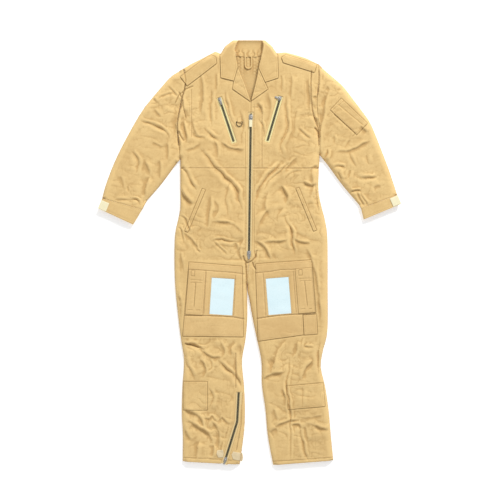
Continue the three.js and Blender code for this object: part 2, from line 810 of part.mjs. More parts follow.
// Thigh pockets, each with a clear map window and a pen pocket on its outer side.
const THIGH = {
  left: {
    outline: [
      [-228, -8],
      [-252, -285],
      [-25, -288],
      [-30, -24],
    ],
    window: [-105, -137, -3.6],
    pens: [-204, -121, -4],
  },
  right: {
    outline: [
      [21, -15],
      [31, -304],
      [201, -280],
      [197, -205],
      [246, -201],
      [230, 0],
    ],
    window: [107, -135, 4.5],
    pens: [208, -115, 4.5],
  },
};
for (const name of ["left", "right"]) {
  const { outline, window, pens } = THIGH[name];
  const pocket = plate(points(outline), ON_FRONT, ON_FRONT + PATCH);
  const hole = placed(rectangle(WINDOW.width, WINDOW.height), ...window);
  piece("thigh_pocket_" + name, cut(pocket, plate(hole, LOFT, LOFT + 3 * PATCH)), tanTwill);
  const fit = 2 * WINDOW_FIT;
  const pane = placed(rectangle(WINDOW.width - fit, WINDOW.height - fit), ...window);
  piece("map_window_" + name, plate(pane, ON_FRONT, ON_FRONT + PATCH / 2), clearPlastic);
  patch("pen_pocket_" + name, placed(rectangle(PEN_POCKET.width, PEN_POCKET.height), ...pens), 1);
}
patch("side_pocket_right", points([[199.5, -207], [203.5, -281], [253, -277], [249, -203.5]]));

// Lower leg pockets, slanted hand pockets and the pen pocket on the sleeve.
patch("shin_pocket_left", placed(rectangle(90, 106), -205, down(0.67), 0));
patch("shin_pocket_right", placed(rectangle(138, 88), 209, down(0.672), 5.1));
const WELT = rectangle(12, 172);
patch("hand_pocket_left", placed(WELT, -206, 186, -22.5));
patch("hand_pocket_right", placed(WELT, 211, 190, 22.5));
patch("sleeve_pocket", placed(rectangle(59, 135), CHEST_HALF + 109, 538, 46.7));

// ---------------------------------------------------------------- origin under the middle of the garment

const part = new THREE.Group();
part.add(suit);
const box = new THREE.Box3().setFromObject(suit, true);
suit.position.set(-(box.min.x + box.max.x) / 2, -(box.min.y + box.max.y) / 2, -box.min.z);

export default part;
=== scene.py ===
# %% [markdown]
# # A tan flying coverall, laid flat on its back
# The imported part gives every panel, pocket, zip and strap its true outline and place. This script dresses
# that frame: each flat panel becomes a sheet of twill with folds, and each fitting becomes a finished metal
# piece. Everything is in metres and in the part's own frame, so nothing has to be fitted by eye.

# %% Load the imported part
import json
import math

import bpy
import numpy as np
from mathutils import Matrix, Vector, geometry, kdtree

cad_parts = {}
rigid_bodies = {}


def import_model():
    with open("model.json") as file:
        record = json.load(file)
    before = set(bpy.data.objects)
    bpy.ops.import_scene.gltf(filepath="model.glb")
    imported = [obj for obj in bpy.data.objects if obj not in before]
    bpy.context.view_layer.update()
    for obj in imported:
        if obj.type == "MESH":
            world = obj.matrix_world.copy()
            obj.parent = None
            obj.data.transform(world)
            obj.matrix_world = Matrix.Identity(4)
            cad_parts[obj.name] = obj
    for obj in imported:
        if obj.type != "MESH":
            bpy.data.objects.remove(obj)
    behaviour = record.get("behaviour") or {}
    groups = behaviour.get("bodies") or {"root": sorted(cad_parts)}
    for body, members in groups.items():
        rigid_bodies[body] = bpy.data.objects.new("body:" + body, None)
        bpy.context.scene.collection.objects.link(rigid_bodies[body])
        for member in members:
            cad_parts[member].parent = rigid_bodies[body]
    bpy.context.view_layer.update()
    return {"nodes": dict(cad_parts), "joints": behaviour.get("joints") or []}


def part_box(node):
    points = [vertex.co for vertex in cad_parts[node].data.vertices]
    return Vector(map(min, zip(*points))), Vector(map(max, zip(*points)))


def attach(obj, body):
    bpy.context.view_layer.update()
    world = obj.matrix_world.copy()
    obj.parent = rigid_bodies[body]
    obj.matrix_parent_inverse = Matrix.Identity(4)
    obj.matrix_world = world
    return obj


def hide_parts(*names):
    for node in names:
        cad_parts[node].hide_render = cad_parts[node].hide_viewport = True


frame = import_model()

MM = 0.001
JOINTS = {joint["child"]: joint for joint in frame["joints"]}

# %% [markdown]
# ## Reading a pattern piece from the part
# A panel in the part is a flat plate. The edges that only one of its top faces uses are its outline, so
# walking along them gives the pattern piece, and any hole in it, exactly as it was cut.


# %% The outline of a node's top face
def top_outline(node):
    """The loops round a node's top faces, the longest first; each is an array of x, y points."""
    mesh, top = frame["nodes"][node].data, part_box(node)[1].z
    sides = set()
    for face in mesh.polygons:
        corners = [mesh.vertices[i].co for i in face.vertices]
        if all(abs(c.z - top) < 2e-5 for c in corners):
            keys = [(round(c.x, 6), round(c.y, 6)) for c in corners]
            sides.update(zip(keys, keys[1:] + keys[:1]))
    following = {a: b for a, b in sides if (b, a) not in sides}
    loops = []
    while following:
        start, point = next(iter(sorted(following.items())))
        loop = [start]
        del following[start]
        while point != start:
            loop.append(point)
            point = following.pop(point)
        loops.append(np.array(loop))
    return sorted(loops, key=lambda loop: -len_of(loop))


def len_of(loop):
    return float(np.linalg.norm(loop - np.roll(loop, -1, 0), axis=1).sum())


print("bodice_front_left has loops of", [len(loop) for loop in top_outline("bodice_front_left")], "points")

# %% [markdown]
# ## A net of even triangles
# Cloth bends the same way everywhere, so its mesh should be even too. The outline is divided into short
# steps, a honeycomb of points fills the inside, and a Delaunay triangulation joins them. That gives no long
# slivers, which would show as kinks in a soft fold.


# %% Dividing a line into short steps
def stepped(line, step, closed=True):
    """The line's own corners, with points between them at most a step apart."""
    ends = np.roll(line, -1, 0) if closed else line[1:]
    points = []
    for a, b in zip(line, ends):
        count = max(1, math.ceil(np.linalg.norm(b - a) / step))
        points += [a + (b - a) * i / count for i in range(count)]
    if not closed:
        points.append(line[-1])
    return np.array(points)


def inside(points, loops):
    """Which points lie inside the loops; a hole is a loop inside another."""
    found = np.zeros(len(points), bool)
    x, y = points[:, 0], points[:, 1]
    for loop in loops:
        for (ax, ay), (bx, by) in zip(loop, np.roll(loop, -1, 0)):
            if ay != by:
                crosses = (ay > y) != (by > y)
                found ^= crosses & (x < (bx - ax) * (y - ay) / (by - ay) + ax)
    return found


def finder(points):
    tree = kdtree.KDTree(len(points))
    for i, p in enumerate(points):
        tree.insert((p[0], p[1], 0), i)
    tree.balance()
    return tree


def how_far(tree, points):
    return np.array([tree.find((x, y, 0))[2] for x, y in points])


# %% The net itself
def net(loops, step):
    """Points, triangles, and each point's distance from the piece's edge."""
    rims = [stepped(loop, step) for loop in loops]
    rim = np.vstack(rims)
    low, high = rim.min(0), rim.max(0)
    rows = np.arange(low[1], high[1], step * 0.866)
    columns = np.arange(low[0], high[0], step)
    comb = np.vstack([
        np.column_stack([columns + i % 2 * step / 2, 0 * columns + y]) for i, y in enumerate(rows)
    ])
    comb = comb[inside(comb, loops)]
    close = finder(np.vstack([stepped(r, step / 3) for r in rims]))
    comb = comb[how_far(close, comb) > 0.6 * step]
    points = np.vstack([rim, comb])
    edges, start = [], 0
    for r in rims:
        edges += [(start + i, start + (i + 1) % len(r)) for i in range(len(r))]
        start += len(r)
    made = geometry.delaunay_2d_cdt([Vector(p) for p in points], edges, [], 0, 1e-7)
    points = np.array([tuple(p) for p in made[0]])
    triangles = np.array([t for t in made[2] if len(t) == 3])
    triangles = triangles[inside(points[triangles].mean(1), loops)]
    a, b, c = (points[triangles[:, i]] for i in range(3))
    turn = (b - a)[:, 0] * (c - a)[:, 1] - (b - a)[:, 1] * (c - a)[:, 0]
    triangles[turn < 0] = triangles[turn < 0][:, ::-1]
    return points, triangles, how_far(close, points)


PANEL_STEP = 3.4 * MM
points, triangles, _ = net(top_outline("cuff_tab_left"), 3 * MM)
print("a cuff tab's net has", len(points), "points and", len(triangles), "triangles")

# %% [markdown]
# ## Where the cloth is closed
# Front and back are sewn together along the flanks, the legs, the sleeves and the shoulders. There the front
# rolls down to meet the back, so a point's height depends on how far it is from the nearest closed edge. At
# the hems, the cuffs and the neck the two layers stay apart, and the garment is open.

# %% Closed edges, from the seams between front and back
SEAMS = [n for n in frame["nodes"] if n.endswith(("seam_left", "seam_right"))]
FRONTS = [
    f"{part}_{side}"
    for part in ("bodice_front", "trouser_front", "sleeve_front") for side in ("left", "right")
]
seam_finder = finder(np.vstack([stepped(top_outline(n)[0], 2 * MM) for n in SEAMS]))
sleeve_finder = finder(np.vstack([stepped(top_outline(n)[0], 2 * MM) for n in FRONTS[4:]]))
closed_points = []
for panel in FRONTS:
    rim = stepped(top_outline(panel)[0], 2 * MM)
    sewn = how_far(seam_finder, rim) < 2.5 * MM
    shoulder = (rim[:, 1] > 0.70) & (abs(rim[:, 0]) > 0.105) & (how_far(sleeve_finder, rim) > 3 * MM)
    closed_points.append(rim[sewn | (shoulder & panel.startswith("bodice"))])
closed_finder = finder(np.vstack(closed_points))
print("closed edges:", round(sum(map(len, closed_points)) * 2 * MM, 2), "m")


# %% The smooth shape of the laid garment
FRONT_TOP, EDGE_HEIGHT, ROLL = 19.4 * MM, 4.2 * MM, 20 * MM
BACK_TOP, BACK_ROLL = 1.3 * MM, 16 * MM


def rolled(distance, roll):
    """From 0 at a closed edge to 1 where the roll ends, as a quarter circle."""
    return np.sqrt(1 - (1 - np.clip(distance / roll, 0, 1)) ** 2)


def ramp(values, low, high):
    t = np.clip((values - low) / (high - low), 0, 1)
    return t * t * (3 - 2 * t)


# %% [markdown]
# ## Smooth random waves
# Washed cotton is never flat, and no fold in it runs quite straight. Random heights on a coarse lattice,
# joined by a smooth curve between its points, serve both: they give shallow dents, and they push the fold
# lines aside a little. The random numbers have a fixed seed, so the garment is the same each time.

# %% Smooth random waves
random = np.random.default_rng(11)
LATTICE = random.uniform(-1, 1, (12, 128, 128))


def waves(points, cell, layer):
    """Random heights from -1 to 1 that change smoothly over a cell's size."""
    p = points / cell + 37.3 * layer
    whole = np.floor(p).astype(int)
    part = p - whole
    part = part**3 * (part * (part * 6 - 15) + 10)
    (i, j), (u, v) = whole.T % 128, part.T
    table, i1, j1 = LATTICE[layer], (i + 1) % 128, (j + 1) % 128
    near = table[i, j] * (1 - u) + table[i1, j] * u
    far = table[i, j1] * (1 - u) + table[i1, j1] * u
    return near * (1 - v) + far * v


# %% [markdown]
# ## Folds
# Cloth that has been worn and pressed keeps folds where the body bends: under the arms, in a line from the
# chest to the crotch, behind the knees and above the hems. Each fold here is a line of points in millimetres,
# with a width and a depth. Half of them are creases, with a sharp valley and a broad swelling on one side,
# and the others are steps, where the cloth lies higher on one side. Along its line each fold fades out at
# both ends. The points are not worked out from the frame. Their places were marked by eye, and a converting
# program turned them into millimetres and printed the tables, so they don't follow when a size of the garment
# changes. This part of the script isn't one to copy: such lines belong in named values that start from the
# boxes of the pieces.

# %% Fold lines: width, depth, then x and y of each point, in millimetres
CHEST_FOLDS = [
    (5, 6, -272, 599, -254, 557, -269, 516, -276, 471, -261, 404, -261, 351),
    (4, 5, -250, 497, -242, 460, -231, 411), (3, 3, 260, 685, 258, 632, 253, 584),
    (4.5, 5.5, 271, 636, 294, 617, 292, 591, 281, 561, 279, 512, 264, 467, 262, 366),
    (4, 5, 234, 516, 249, 501, 260, 467), (5, 3, -145, 617, -145, 554, -145, 505, -134, 471),
    (3, 1.5, -122, 677, -126, 602), (4, 3, -92, 610, -85, 561, -74, 512, -47, 460),
    (4, 2, -100, 565, -81, 497, -51, 456), (4, 2.5, -224, 460, -201, 434, -160, 430),
    (5, 3, -175, 471, -141, 437, -115, 426), (4, 3, -115, 422, -81, 396, -36, 389, -6, 381),
    (5.5, 5, -190, 400, -164, 366, -137, 329, -92, 284, -51, 242, -40, 197, -21, 137),
    (4, 2, -137, 430, -122, 389, -122, 351), (4, 2, -216, 501, -209, 460, -190, 430),
    (4, 1.5, -250, 385, -220, 392, -182, 411), (4, 2, 159, 674, 159, 625, 155, 569),
    (4, 1.5, 118, 670, 121, 599), (5, 4, 133, 595, 140, 524, 140, 460, 125, 422, 118, 396, 125, 351),
    (4, 3, 181, 471, 208, 445, 234, 426), (4, 3, 28, 569, 46, 531, 46, 494),
    (4, 2, 35, 509, 50, 467, 61, 415), (4, 1.5, 178, 542, 166, 437),
    (3.5, 3.5, 226, 681, 223, 617, 225, 572, 226, 524), (2.5, 2, 226, 587, 256, 587),
    (5, 2.5, -186, 685, -175, 591, -182, 505), (6, 2, -36, 542, -25, 467, -32, 400),
    (5, 2, 69, 610, 84, 527, 76, 460),
]
WAIST_FOLDS = [
    (5, 5, -261, 325, -239, 299, -220, 269, -194, 231), (5, 5, -261, 250, -242, 212, -209, 179),
    (4, 3.5, -141, 224, -152, 152, -160, 85),
    (3.5, 3, -152, 119, -111, 115, -62, 107, -32, 85, -12, 62), (3.5, 3, -145, 47, -92, 47, -40, 40),
    (3, 1.5, -137, 47, -107, 17, -81, -9), (3, 3, -265, 145, -239, 119, -220, 77),
    (3, 3, -272, 100, -254, 81, -246, 32), (3.5, 2.5, -246, 77, -216, 47, -190, 17),
    (3, 2, -197, 51, -197, 17, -182, -1), (3.5, 3, -17, 62, -36, 29, -36, -13, -21, -39),
    (3.5, 2, -51, 40, -47, 6), (6, 2, -134, 205, -119, 160, -137, 126),
    (5.5, 5, 129, 355, 95, 314, 58, 269, 31, 227, 20, 186, 20, 141),
    (4, 2.5, 155, 347, 118, 310, 76, 272, 46, 224), (3.5, 2.5, 178, 359, 144, 325, 121, 295),
    (4, 2, 200, 310, 159, 302, 125, 276), (5, 4, 118, 261, 129, 239, 140, 212, 136, 179),
    (4, 4, 133, 149, 140, 115, 155, 89, 159, 59, 163, 25, 170, -16),
    (4, 4, 223, 306, 241, 321, 264, 332), (4, 4, 196, 265, 219, 257, 238, 254, 260, 261),
    (5, 4, 234, 317, 238, 257, 230, 201), (5, 4, 249, 257, 253, 201, 260, 149),
    (6, 2, 129, 175, 106, 141, 103, 111), (4, 3, 80, 171, 46, 130, 24, 89),
    (3.5, 3, 43, 40, 91, 40, 151, 51), (3.5, 3, 163, 62, 189, 40, 230, 36),
    (4, 3.5, 20, 51, 50, 25, 69, -9, 80, -31),
    (4.5, 4, 204, 29, 226, -13, 245, -65, 256, -140, 264, -215, 268, -264),
    (3.5, 3, 13, 17, 24, -16, 16, -50), (6, 2, -74, 272, -89, 197, -77, 137),
    (6, 2, 69, 242, 58, 186, 69, 137), (5, 3, -261, 14, -257, -31, -242, -76),
    (5, 3, -269, -140, -254, -196, -257, -260),
]
LEG_FOLDS = [
    (4, 5, -246, -343, -209, -344, -164, -361), (4, 4, -186, -363, -141, -388, -104, -395),
    (6, 4, -239, -365, -239, -410, -220, -448, -201, -481),
    (5, 5, -119, -399, -85, -436, -47, -470, -25, -519), (4, 4, -186, -399, -167, -436, -175, -474),
    (3, 2, -149, -391, -141, -429, -164, -451), (3, 3, -55, -380, -51, -433, -47, -489),
    (4, 3, -44, -331, -70, -358, -66, -391), (4, 3, -32, -335, -32, -399),
    (4, 3, -107, -328, -96, -369, -104, -399),
    (3, 2.5, -186, -613, -152, -624, -137, -614, -119, -635, -100, -620, -81, -639, -47, -631),
    (5, 5, -250, -579, -220, -598, -186, -620, -167, -665),
    (5, 4.5, -254, -609, -224, -631, -190, -654, -160, -676, -141, -703, -134, -733),
    (4, 4, -149, -624, -122, -658, -115, -699, -119, -751), (4, 3, -134, -721, -141, -766),
    (3, 3, -77, -643, -85, -669, -92, -695), (5, 3, -186, -695, -197, -736, -197, -785),
    (6, 2, -242, -661, -220, -706), (3, 2, -100, -703, -111, -751),
    (5, 2, -156, -496, -137, -545, -152, -586),
    (4, 4.5, 148, -305, 118, -350, 99, -384, 84, -429, 76, -474),
    (4, 3, 185, -324, 174, -365, 159, -395), (4, 3, 219, -331, 208, -350, 245, -354),
    (3, 3, 200, -316, 193, -358),
    (3, 3, 144, -380, 150, -429, 140, -500, 151, -586, 155, -703, 155, -796),
    (3, 3, 123, -504, 133, -545, 140, -579), (4, 4, 238, -395, 211, -436, 196, -481),
    (4, 3.5, 50, -481, 69, -463, 99, -455, 136, -448),
    (3.5, 3, 91, -654, 125, -639, 151, -631, 189, -628), (3.5, 3, 151, -646, 185, -646, 196, -665),
    (4, 4, 200, -631, 234, -643, 271, -658, 305, -661), (3.5, 2.5, 189, -620, 226, -616, 275, -605),
    (6, 3, 73, -676, 103, -658), (4, 3.5, 189, -643, 196, -703, 211, -751, 226, -793),
    (3, 2, 211, -650, 219, -706), (5, 2, 91, -586, 106, -631), (5, 4, 264, -324, 260, -384, 256, -466),
    (5, 3, 76, -391, 95, -425, 84, -455), (5, 2, 200, -500, 200, -583),
]
SLEEVE_FOLDS = [
    (4, 3.5, -415, 497, -366, 482, -329, 467, -310, 449, -299, 419), (4, 1.5, -359, 546, -332, 501),
    (4, 2.5, -314, 415, -306, 381, -306, 344), (5, 4, -336, 351, -332, 310, -340, 265),
    (5, 4, -370, 287, -389, 246, -392, 201), (3.5, 2, -366, 419, -344, 407, -321, 396),
    (3.5, 3.5, -509, 201, -460, 201, -422, 197, -411, 171), (3.5, 3, -340, 580, -310, 595, -280, 602),
    (3.5, 3.5, -302, 647, -269, 651, -227, 644), (3.5, 3, -280, 651, -257, 629, -254, 599),
    (3.5, 2.5, -310, 632, -284, 606, -265, 584), (4, 3, -359, 584, -344, 557),
    (3, 2, -456, 254, -452, 224), (6, 2, -396, 355, -374, 287), (5, 2, -449, 385, -419, 347, -426, 291),
    (6, 2, -486, 291, -471, 235), (4, 3.5, 313, 374, 346, 381, 376, 385, 418, 404, 459, 426),
    (4, 4, 279, 351, 294, 374, 294, 392), (4, 3, 309, 317, 331, 325, 361, 317),
    (4.5, 2.5, 399, 299, 421, 280, 451, 280, 485, 287), (4, 1.5, 373, 389, 384, 347, 403, 314),
    (5, 1.5, 436, 370, 451, 325), (3.5, 4, 373, 227, 399, 231, 421, 231),
    (3.5, 4, 399, 227, 418, 201, 436, 171), (3, 3, 414, 227, 433, 201, 451, 171),
    (4, 2, 313, 441, 324, 407), (4, 1.5, 380, 426, 354, 392), (4, 2, 376, 314, 373, 276),
    (5, 3, 328, 306, 346, 269), (3, 2, 275, 681, 271, 644), (5, 1.5, 343, 632, 328, 606),
    (5, 2, 459, 242, 493, 257), (5, 2, 414, 479, 444, 449),
]


# %% From fold lines to a height
def curve_through(points, count=5):
    """A smooth line through the points."""
    p = np.vstack([2 * points[0] - points[1], points, 2 * points[-1] - points[-2]])
    line = []
    for i in range(1, len(p) - 2):
        for t in np.arange(count) / count:
            a, b, c, d = p[i - 1], p[i], p[i + 1], p[i + 2]
            line.append(
                0.5 * (
                    2 * b + (c - a) * t + (2 * a - 5 * b + 4 * c - d) * t**2 + (3 * b - a - 3 * c + d) * t**3)
            )
    return np.array(line + [points[-1]])


def beside(points, line):
    """Each point's distance from a line, the side it is on, and how far along the line that is."""
    best = np.full(len(points), 1e9)
    side, along, gone = np.ones(len(points)), np.zeros(len(points)), 0.0
    for a, b in zip(line, line[1:]):
        d = b - a
        length = np.linalg.norm(d) + 1e-12
        t = np.clip(((points - a) @ d) / length**2, 0, 1)
        off = points - a - t[:, None] * d
        far = np.linalg.norm(off, axis=1)
        near = far < best
        best[near], along[near] = far[near], (gone + t * length)[near]
        side[near] = np.sign(d[0] * off[:, 1] - d[1] * off[:, 0])[near]
        gone += length
    return best, side, along, gone


class Fold:
    def __init__(self, width, depth, *xy):
        self.width, self.depth = 1.25 * width * MM, 2.0 * depth * MM
        self.line = curve_through(np.array(xy, float).reshape(-1, 2) * MM)
        dx, dy = self.line[-1] - self.line[0]
        self.steep = 1 if 0.9 * dx - 0.4 * dy > 0 else -1
        self.stepped = int(abs(xy[0]) + abs(xy[1])) % 2
        self.low = self.line.min(0) - 4.5 * self.width
        self.high = self.line.max(0) + 4.5 * self.width

    def add_to(self, height, points):
        near = np.all((points > self.low) & (points < self.high), axis=1)
        if near.any():
            here = points[near]
            wander = 3.2 * MM * np.column_stack([waves(here, 34 * MM, 10), waves(here, 34 * MM, 11)])
            wander += 1.1 * MM * np.column_stack([waves(here, 12 * MM, 8), waves(here, 12 * MM, 9)])
            far, side, along, length = beside(here + wander, self.line)
            t = side * self.steep * far / self.width
            pushed = 0.8 * np.tanh(1.5 * t) * np.exp(-((t / 2.8) ** 2))
            crease = -np.exp(-np.abs(t) * np.where(t > 0, 2.6, 0.95))
            swell = 0.6 * np.exp(-(((t - 1.6) / 1.15) ** 2)) + 0.25 * np.exp(-(((t + 2.4) / 1.4) ** 2))
            fade = ramp(along, 0, 0.3 * length) * ramp(length - along, 0, 0.3 * length)
            fade *= 0.75 + 0.5 * waves(np.column_stack([along, 0 * along]) + self.line[0], 30 * MM, 7)
            shape = pushed - 0.25 * np.exp(-((t / 0.5) ** 2)) if self.stepped else crease + swell
            height[near] += self.depth * shape * fade


folds = [Fold(*row) for row in CHEST_FOLDS + WAIST_FOLDS + LEG_FOLDS + SLEEVE_FOLDS]
print(len(folds), "folds, the longest", round(max(len_of(f.line) / 2 for f in folds), 2), "m")

# %% [markdown]
# ## Small creases
# Crumpled cloth is made of small bulging faces that meet in sharp lines. Taking the absolute value of a
# smooth wave gives just that: a sharp valley where the wave crosses zero, and round swellings between. Three
# sizes of it are added, and a list of places says where the cloth is slack and creases more.

# %% Creases
def creases(points, cell, layer):
    """Round swellings about a cell wide, with sharp valleys between."""
    push = np.column_stack([waves(points, cell, layer), waves(points, cell, layer + 1)])
    bent = points + 0.45 * cell * push
    return np.sqrt(waves(bent, cell, layer + 2) ** 2 + 0.0012) - 0.3


# Where the cloth is slack: x, y, radius in millimetres, and how much more it creases there.
SLACK = [
    (-255, 500, 70, 1.2), (262, 520, 80, 1.2), (0, 20, 110, 1.2), (-180, -340, 90, 1.3), (150, -370, 90, 1.2),
    (-120, -640, 110, 1.5), (200, -640, 110, 0.9), (-250, 90, 70, 1.4), (230, 160, 80, 1.3),
    (-400, 200, 90, 0.8),
    (400, 220, 90, 0.8), (320, 640, 80, 1.0), (-330, 600, 90, 0.9), (0, 690, 60, 1.2), (160, 330, 90, 0.8),
]


def slackness(points):
    amount = np.full(len(points), 0.5)
    for x, y, radius, gain in SLACK:
        far = np.linalg.norm(points - np.array([x, y]) * MM, axis=1)
        amount += gain * np.exp(-((far / (radius * MM)) ** 2))
    return amount


def crumple(points):
    shallow = 2.2 * waves(points, 150 * MM, 1) + 1.3 * waves(points, 80 * MM, 0)
    shallow = shallow + 0.35 * waves(points, 15 * MM, 2)
    along = points @ np.array([[0.8, 0.25], [-0.25, 1.3]])
    sharp = 2.3 * creases(along, 66 * MM, 3) + 1.25 * creases(along, 31 * MM, 5)
    sharp = sharp + 0.5 * creases(points, 14 * MM, 7)
    return MM * slackness(points) * (shallow + sharp)


# %% [markdown]
# ## Keeping the zips straight
# A slider has to run along its chain, so a zip lies straight and flat. Near each chain the folds die out.

# %% Chains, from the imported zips
def long_line(node, slider):
    """The middle line of a straight zip, from the slider's place and the way it travels."""
    outline, run = np.vstack(top_outline(node)), -axis_of(slider)
    middle = np.array([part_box(slider)[i][:2] for i in (0, 1)]).mean(0)
    reach = (outline - middle) @ run
    return np.array([middle + run * reach.min(), middle + run * reach.max()])


def axis_of(child):
    return np.array(JOINTS[child]["axis"])[:2]


main_run = axis_of("zip_slider_lower")
main_foot = np.array([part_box("zip_slider_lower")[i][:2] for i in (0, 1)]).mean(0) - 15 * MM * main_run
MAIN_CHAIN = np.array([main_foot, main_foot + 545 * MM * main_run])
CHEST_CHAINS = {side: long_line("chest_zip_" + side, "chest_slider_" + side) for side in ("left", "right")}
ANKLE_CHAIN = np.array([(-40.5, -517.8), (-46.5, -633.3), (-95.5, -790.6)]) * MM
CHAINS = [MAIN_CHAIN, *CHEST_CHAINS.values(), ANKLE_CHAIN]
for name, line in zip(("front", "left chest", "right chest", "ankle"), CHAINS):
    print(name, "zip:", round(len_of(line) / 2 * 1000), "mm or more")


def calm(points):
    """1 in open cloth, near 0 along every zip, and less where straps turn or two layers are sewn flat."""
    amount = np.ones(len(points))
    for line in CHAINS:
        amount *= 0.05 + 0.95 * ramp(beside(points, line)[0], 9 * MM, 24 * MM)
    for side in ("left", "right"):
        hinge = np.array(JOINTS["epaulette_" + side]["pos_m"][:2])
        amount *= 0.15 + 0.85 * ramp(np.linalg.norm(points - hinge, axis=1), 30 * MM, 75 * MM)
        low, high = (np.array(corner[:2]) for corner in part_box("thigh_pocket_" + side))
        outside = np.linalg.norm(np.maximum(0, np.maximum(low - points, points - high)), axis=1)
        amount *= 0.5 + 0.5 * ramp(outside, 0, 12 * MM)
    return amount


# %% [markdown]
# ## Sewn lines
# A row of stitches pulls the cloth down into a narrow groove, and the thread gathers it a little, so tiny
# puckers stand along every seam. The grooves below are the seams, bands and pen channels that are sewn on the
# panels. Their third number is how far a row of stitches runs from the groove. This table was printed by a
# converting program too, as the tables of folds were, and it has the same fault.

# %% Grooves: width, depth, distance of the stitches, then the line, in millimetres
GROOVES = [
    (2, 0.5, 2, -259.2, 318.9, -129.8, 317.4, -9, 317.4),
    (2, 0.5, 2, 12, 317.4, 132.7, 317.4, 262.1, 317.4), (1.6, 0.8, 2, -217.9, 613.7, -217.9, 433.7),
    (1.6, 0.7, 0, 18.7, 557.4, 18.7, 321.2), (1.6, 0.9, 2, 46.5, 557.4, 46.5, 321.2),
    (1.6, 0.7, 0, 17.6, 309.9, 17.6, 2.4), (1.6, 0.7, 0, -15.8, 452.4, -15.8, 2.4),
    (1.8, 1, 2, 12.7, 546.2, 46.5, 546.2),
    (1.2, 1.6, 0, -218.7, -66.2, -205.5, -66.9, -206.3, -87.6, -219.4, -86.8, -218.7, -66.2),
    (1.2, 1.6, 0, 183.3, -65.1, 196.5, -63.9, 197.6, -84.6, 184.5, -85.7, 183.3, -65.1),
    (3.2, 5, 0, -15, -36.9, -12.4, -72.6, -11.3, -113.8, -9, -143.8),
    (3, 3.5, 0, -24, -10.7, -19.2, -29.4, -7.9, -38.8, 9, -30.6, 22.1, -16.3, 27.7, 9.9),
    (2.6, 3, 0, 10.8, -35.1, 14.6, -50.1, 25.1, -65.1),
    (3, 3, 2, -247.5, 688.7, -239.7, 647.4, -244.2, 609.9, -253.9, 578.1, -266.7, 516.2, -270.8, 489.9,
     -268.9, 441.2, -266.7, 399.9),
    (2.4, 2.4, 0, -212.3, 624.9, -238.5, 613.7, -264.8, 591.2, -279.8, 561.2),
    (2.4, 2.6, 0, -264.8, 602.4, -251.7, 572.4, -247.9, 542.4, -238.5, 504.9),
    (3, 3, 2, 232.1, 684.9, 229.5, 632.4, 231, 579.9, 235.5, 534.9, 243.7, 501.2, 257.6, 467.4, 260.2, 399.9),
    (3.5, 5, 0, -243, -341.1, -219.8, -345.6, -189.8, -356.1),
    (4, 5, 0, -266.7, 456.2, -259.2, 437.4, -246, 418.7),
    (4, 5, 0, 244.5, 469.3, 255.7, 454.3, 262.1, 429.9),
    (2.2, 1.6, 2, 260.2, 684.9, 258.3, 632.4, 253.8, 587.4),
    (2, 1.6, 2, -231.8, -63.6, -167.3, -66.6, -103.5, -71.4, -62.3, -74.1, -20.3, -80.1),
    (2.2, 2.6, 2, -243.4, -236.1, -152.3, -236.8, -103.5, -238.3, -62.3, -241.3, -19.9, -248.8),
    (1.5, 1, 0, -222.4, -99.9, -174.8, -103.7), (1.5, 1, 0, -222.4, -111.2, -176.7, -113.1),
    (2.2, 1.8, 2, -201.8, -113.8, -208.5, -203.8), (1.6, 1.2, 0, -233.7, -213.2, -212.3, -214.3),
    (1.6, 1.2, 0, -201, -214.3, -184.2, -215.1), (2, 1.2, 2, -162.8, -72.6, -171.4, -230.1),
    (2, 1.2, 2, -52.9, -83.8, -60.4, -237.6),
    (2, 1.6, 2, 21.3, -76.3, 76.5, -70.7, 117.7, -63.6, 174, -62.8),
    (2.2, 2.6, 2, 27.7, -247.3, 76.5, -239.4, 129, -233.8, 196.5, -230.1, 247.1, -225.6),
    (1.5, 1, 0, 185.2, -97.3, 232.1, -95.1), (1.5, 1, 0, 187.1, -105.6, 232.1, -103.7),
    (2.2, 1.8, 2, 206.2, -106.3, 216.7, -200.1), (1.6, 1.2, 0, 190.8, -210.9, 209.6, -209.8),
    (1.6, 1.2, 0, 222.7, -209.8, 234, -209.4), (2, 1.2, 2, 163.5, -68.8, 175.1, -226.3),
    (2, 1.2, 2, 51, -76.3, 60.7, -237.6), (2, 1.4, 2, -51.8, -376.3, -51.8, -507.6),
    (2, 1.4, 2, -27.8, -526.3, -31.5, -642.6, -49.2, -740.1),
    (2, 1, 2, -247.9, -768.6, -167.3, -771.2, -66, -779.4),
    (2, 1, 2, 82.1, -782.4, 189, -776.8, 310.8, -767.4), (2.2, 1.7, 2, 332.6, 555.2, 426.3, 477.6),
    (2.2, 1.7, 2, 316.5, 519.2, 399.7, 444.9), (1.5, 1, 0, 305.2, 529.3, 354, 569.8),
    (1.5, 1, 0, 385.8, 437.4, 436.5, 478.7),
]


class Groove(Fold):
    def __init__(self, width, depth, stitched, *xy):
        self.width, self.depth, self.stitched = width * MM, depth * MM, stitched * MM
        self.line = stepped(np.array(xy, float).reshape(-1, 2) * MM, 8 * MM, closed=False)
        self.low, self.high = self.line.min(0) - 14 * MM, self.line.max(0) + 14 * MM

    def add_to(self, height, points):
        near = np.all((points > self.low) & (points < self.high), axis=1)
        if near.any():
            far, side, along, length = beside(points[near], self.line)
            inner = ramp(along, 0, 3 * MM) * ramp(length - along, 0, 3 * MM)
            dip = -self.depth * np.exp(-((far / self.width) ** 2)) * inner
            pucker = 0.45 * MM * waves(np.column_stack([along, side * 5 * MM]), 7 * MM, 9)
            height[near] += dip + pucker * np.exp(-((far / (6 * MM)) ** 2)) * inner


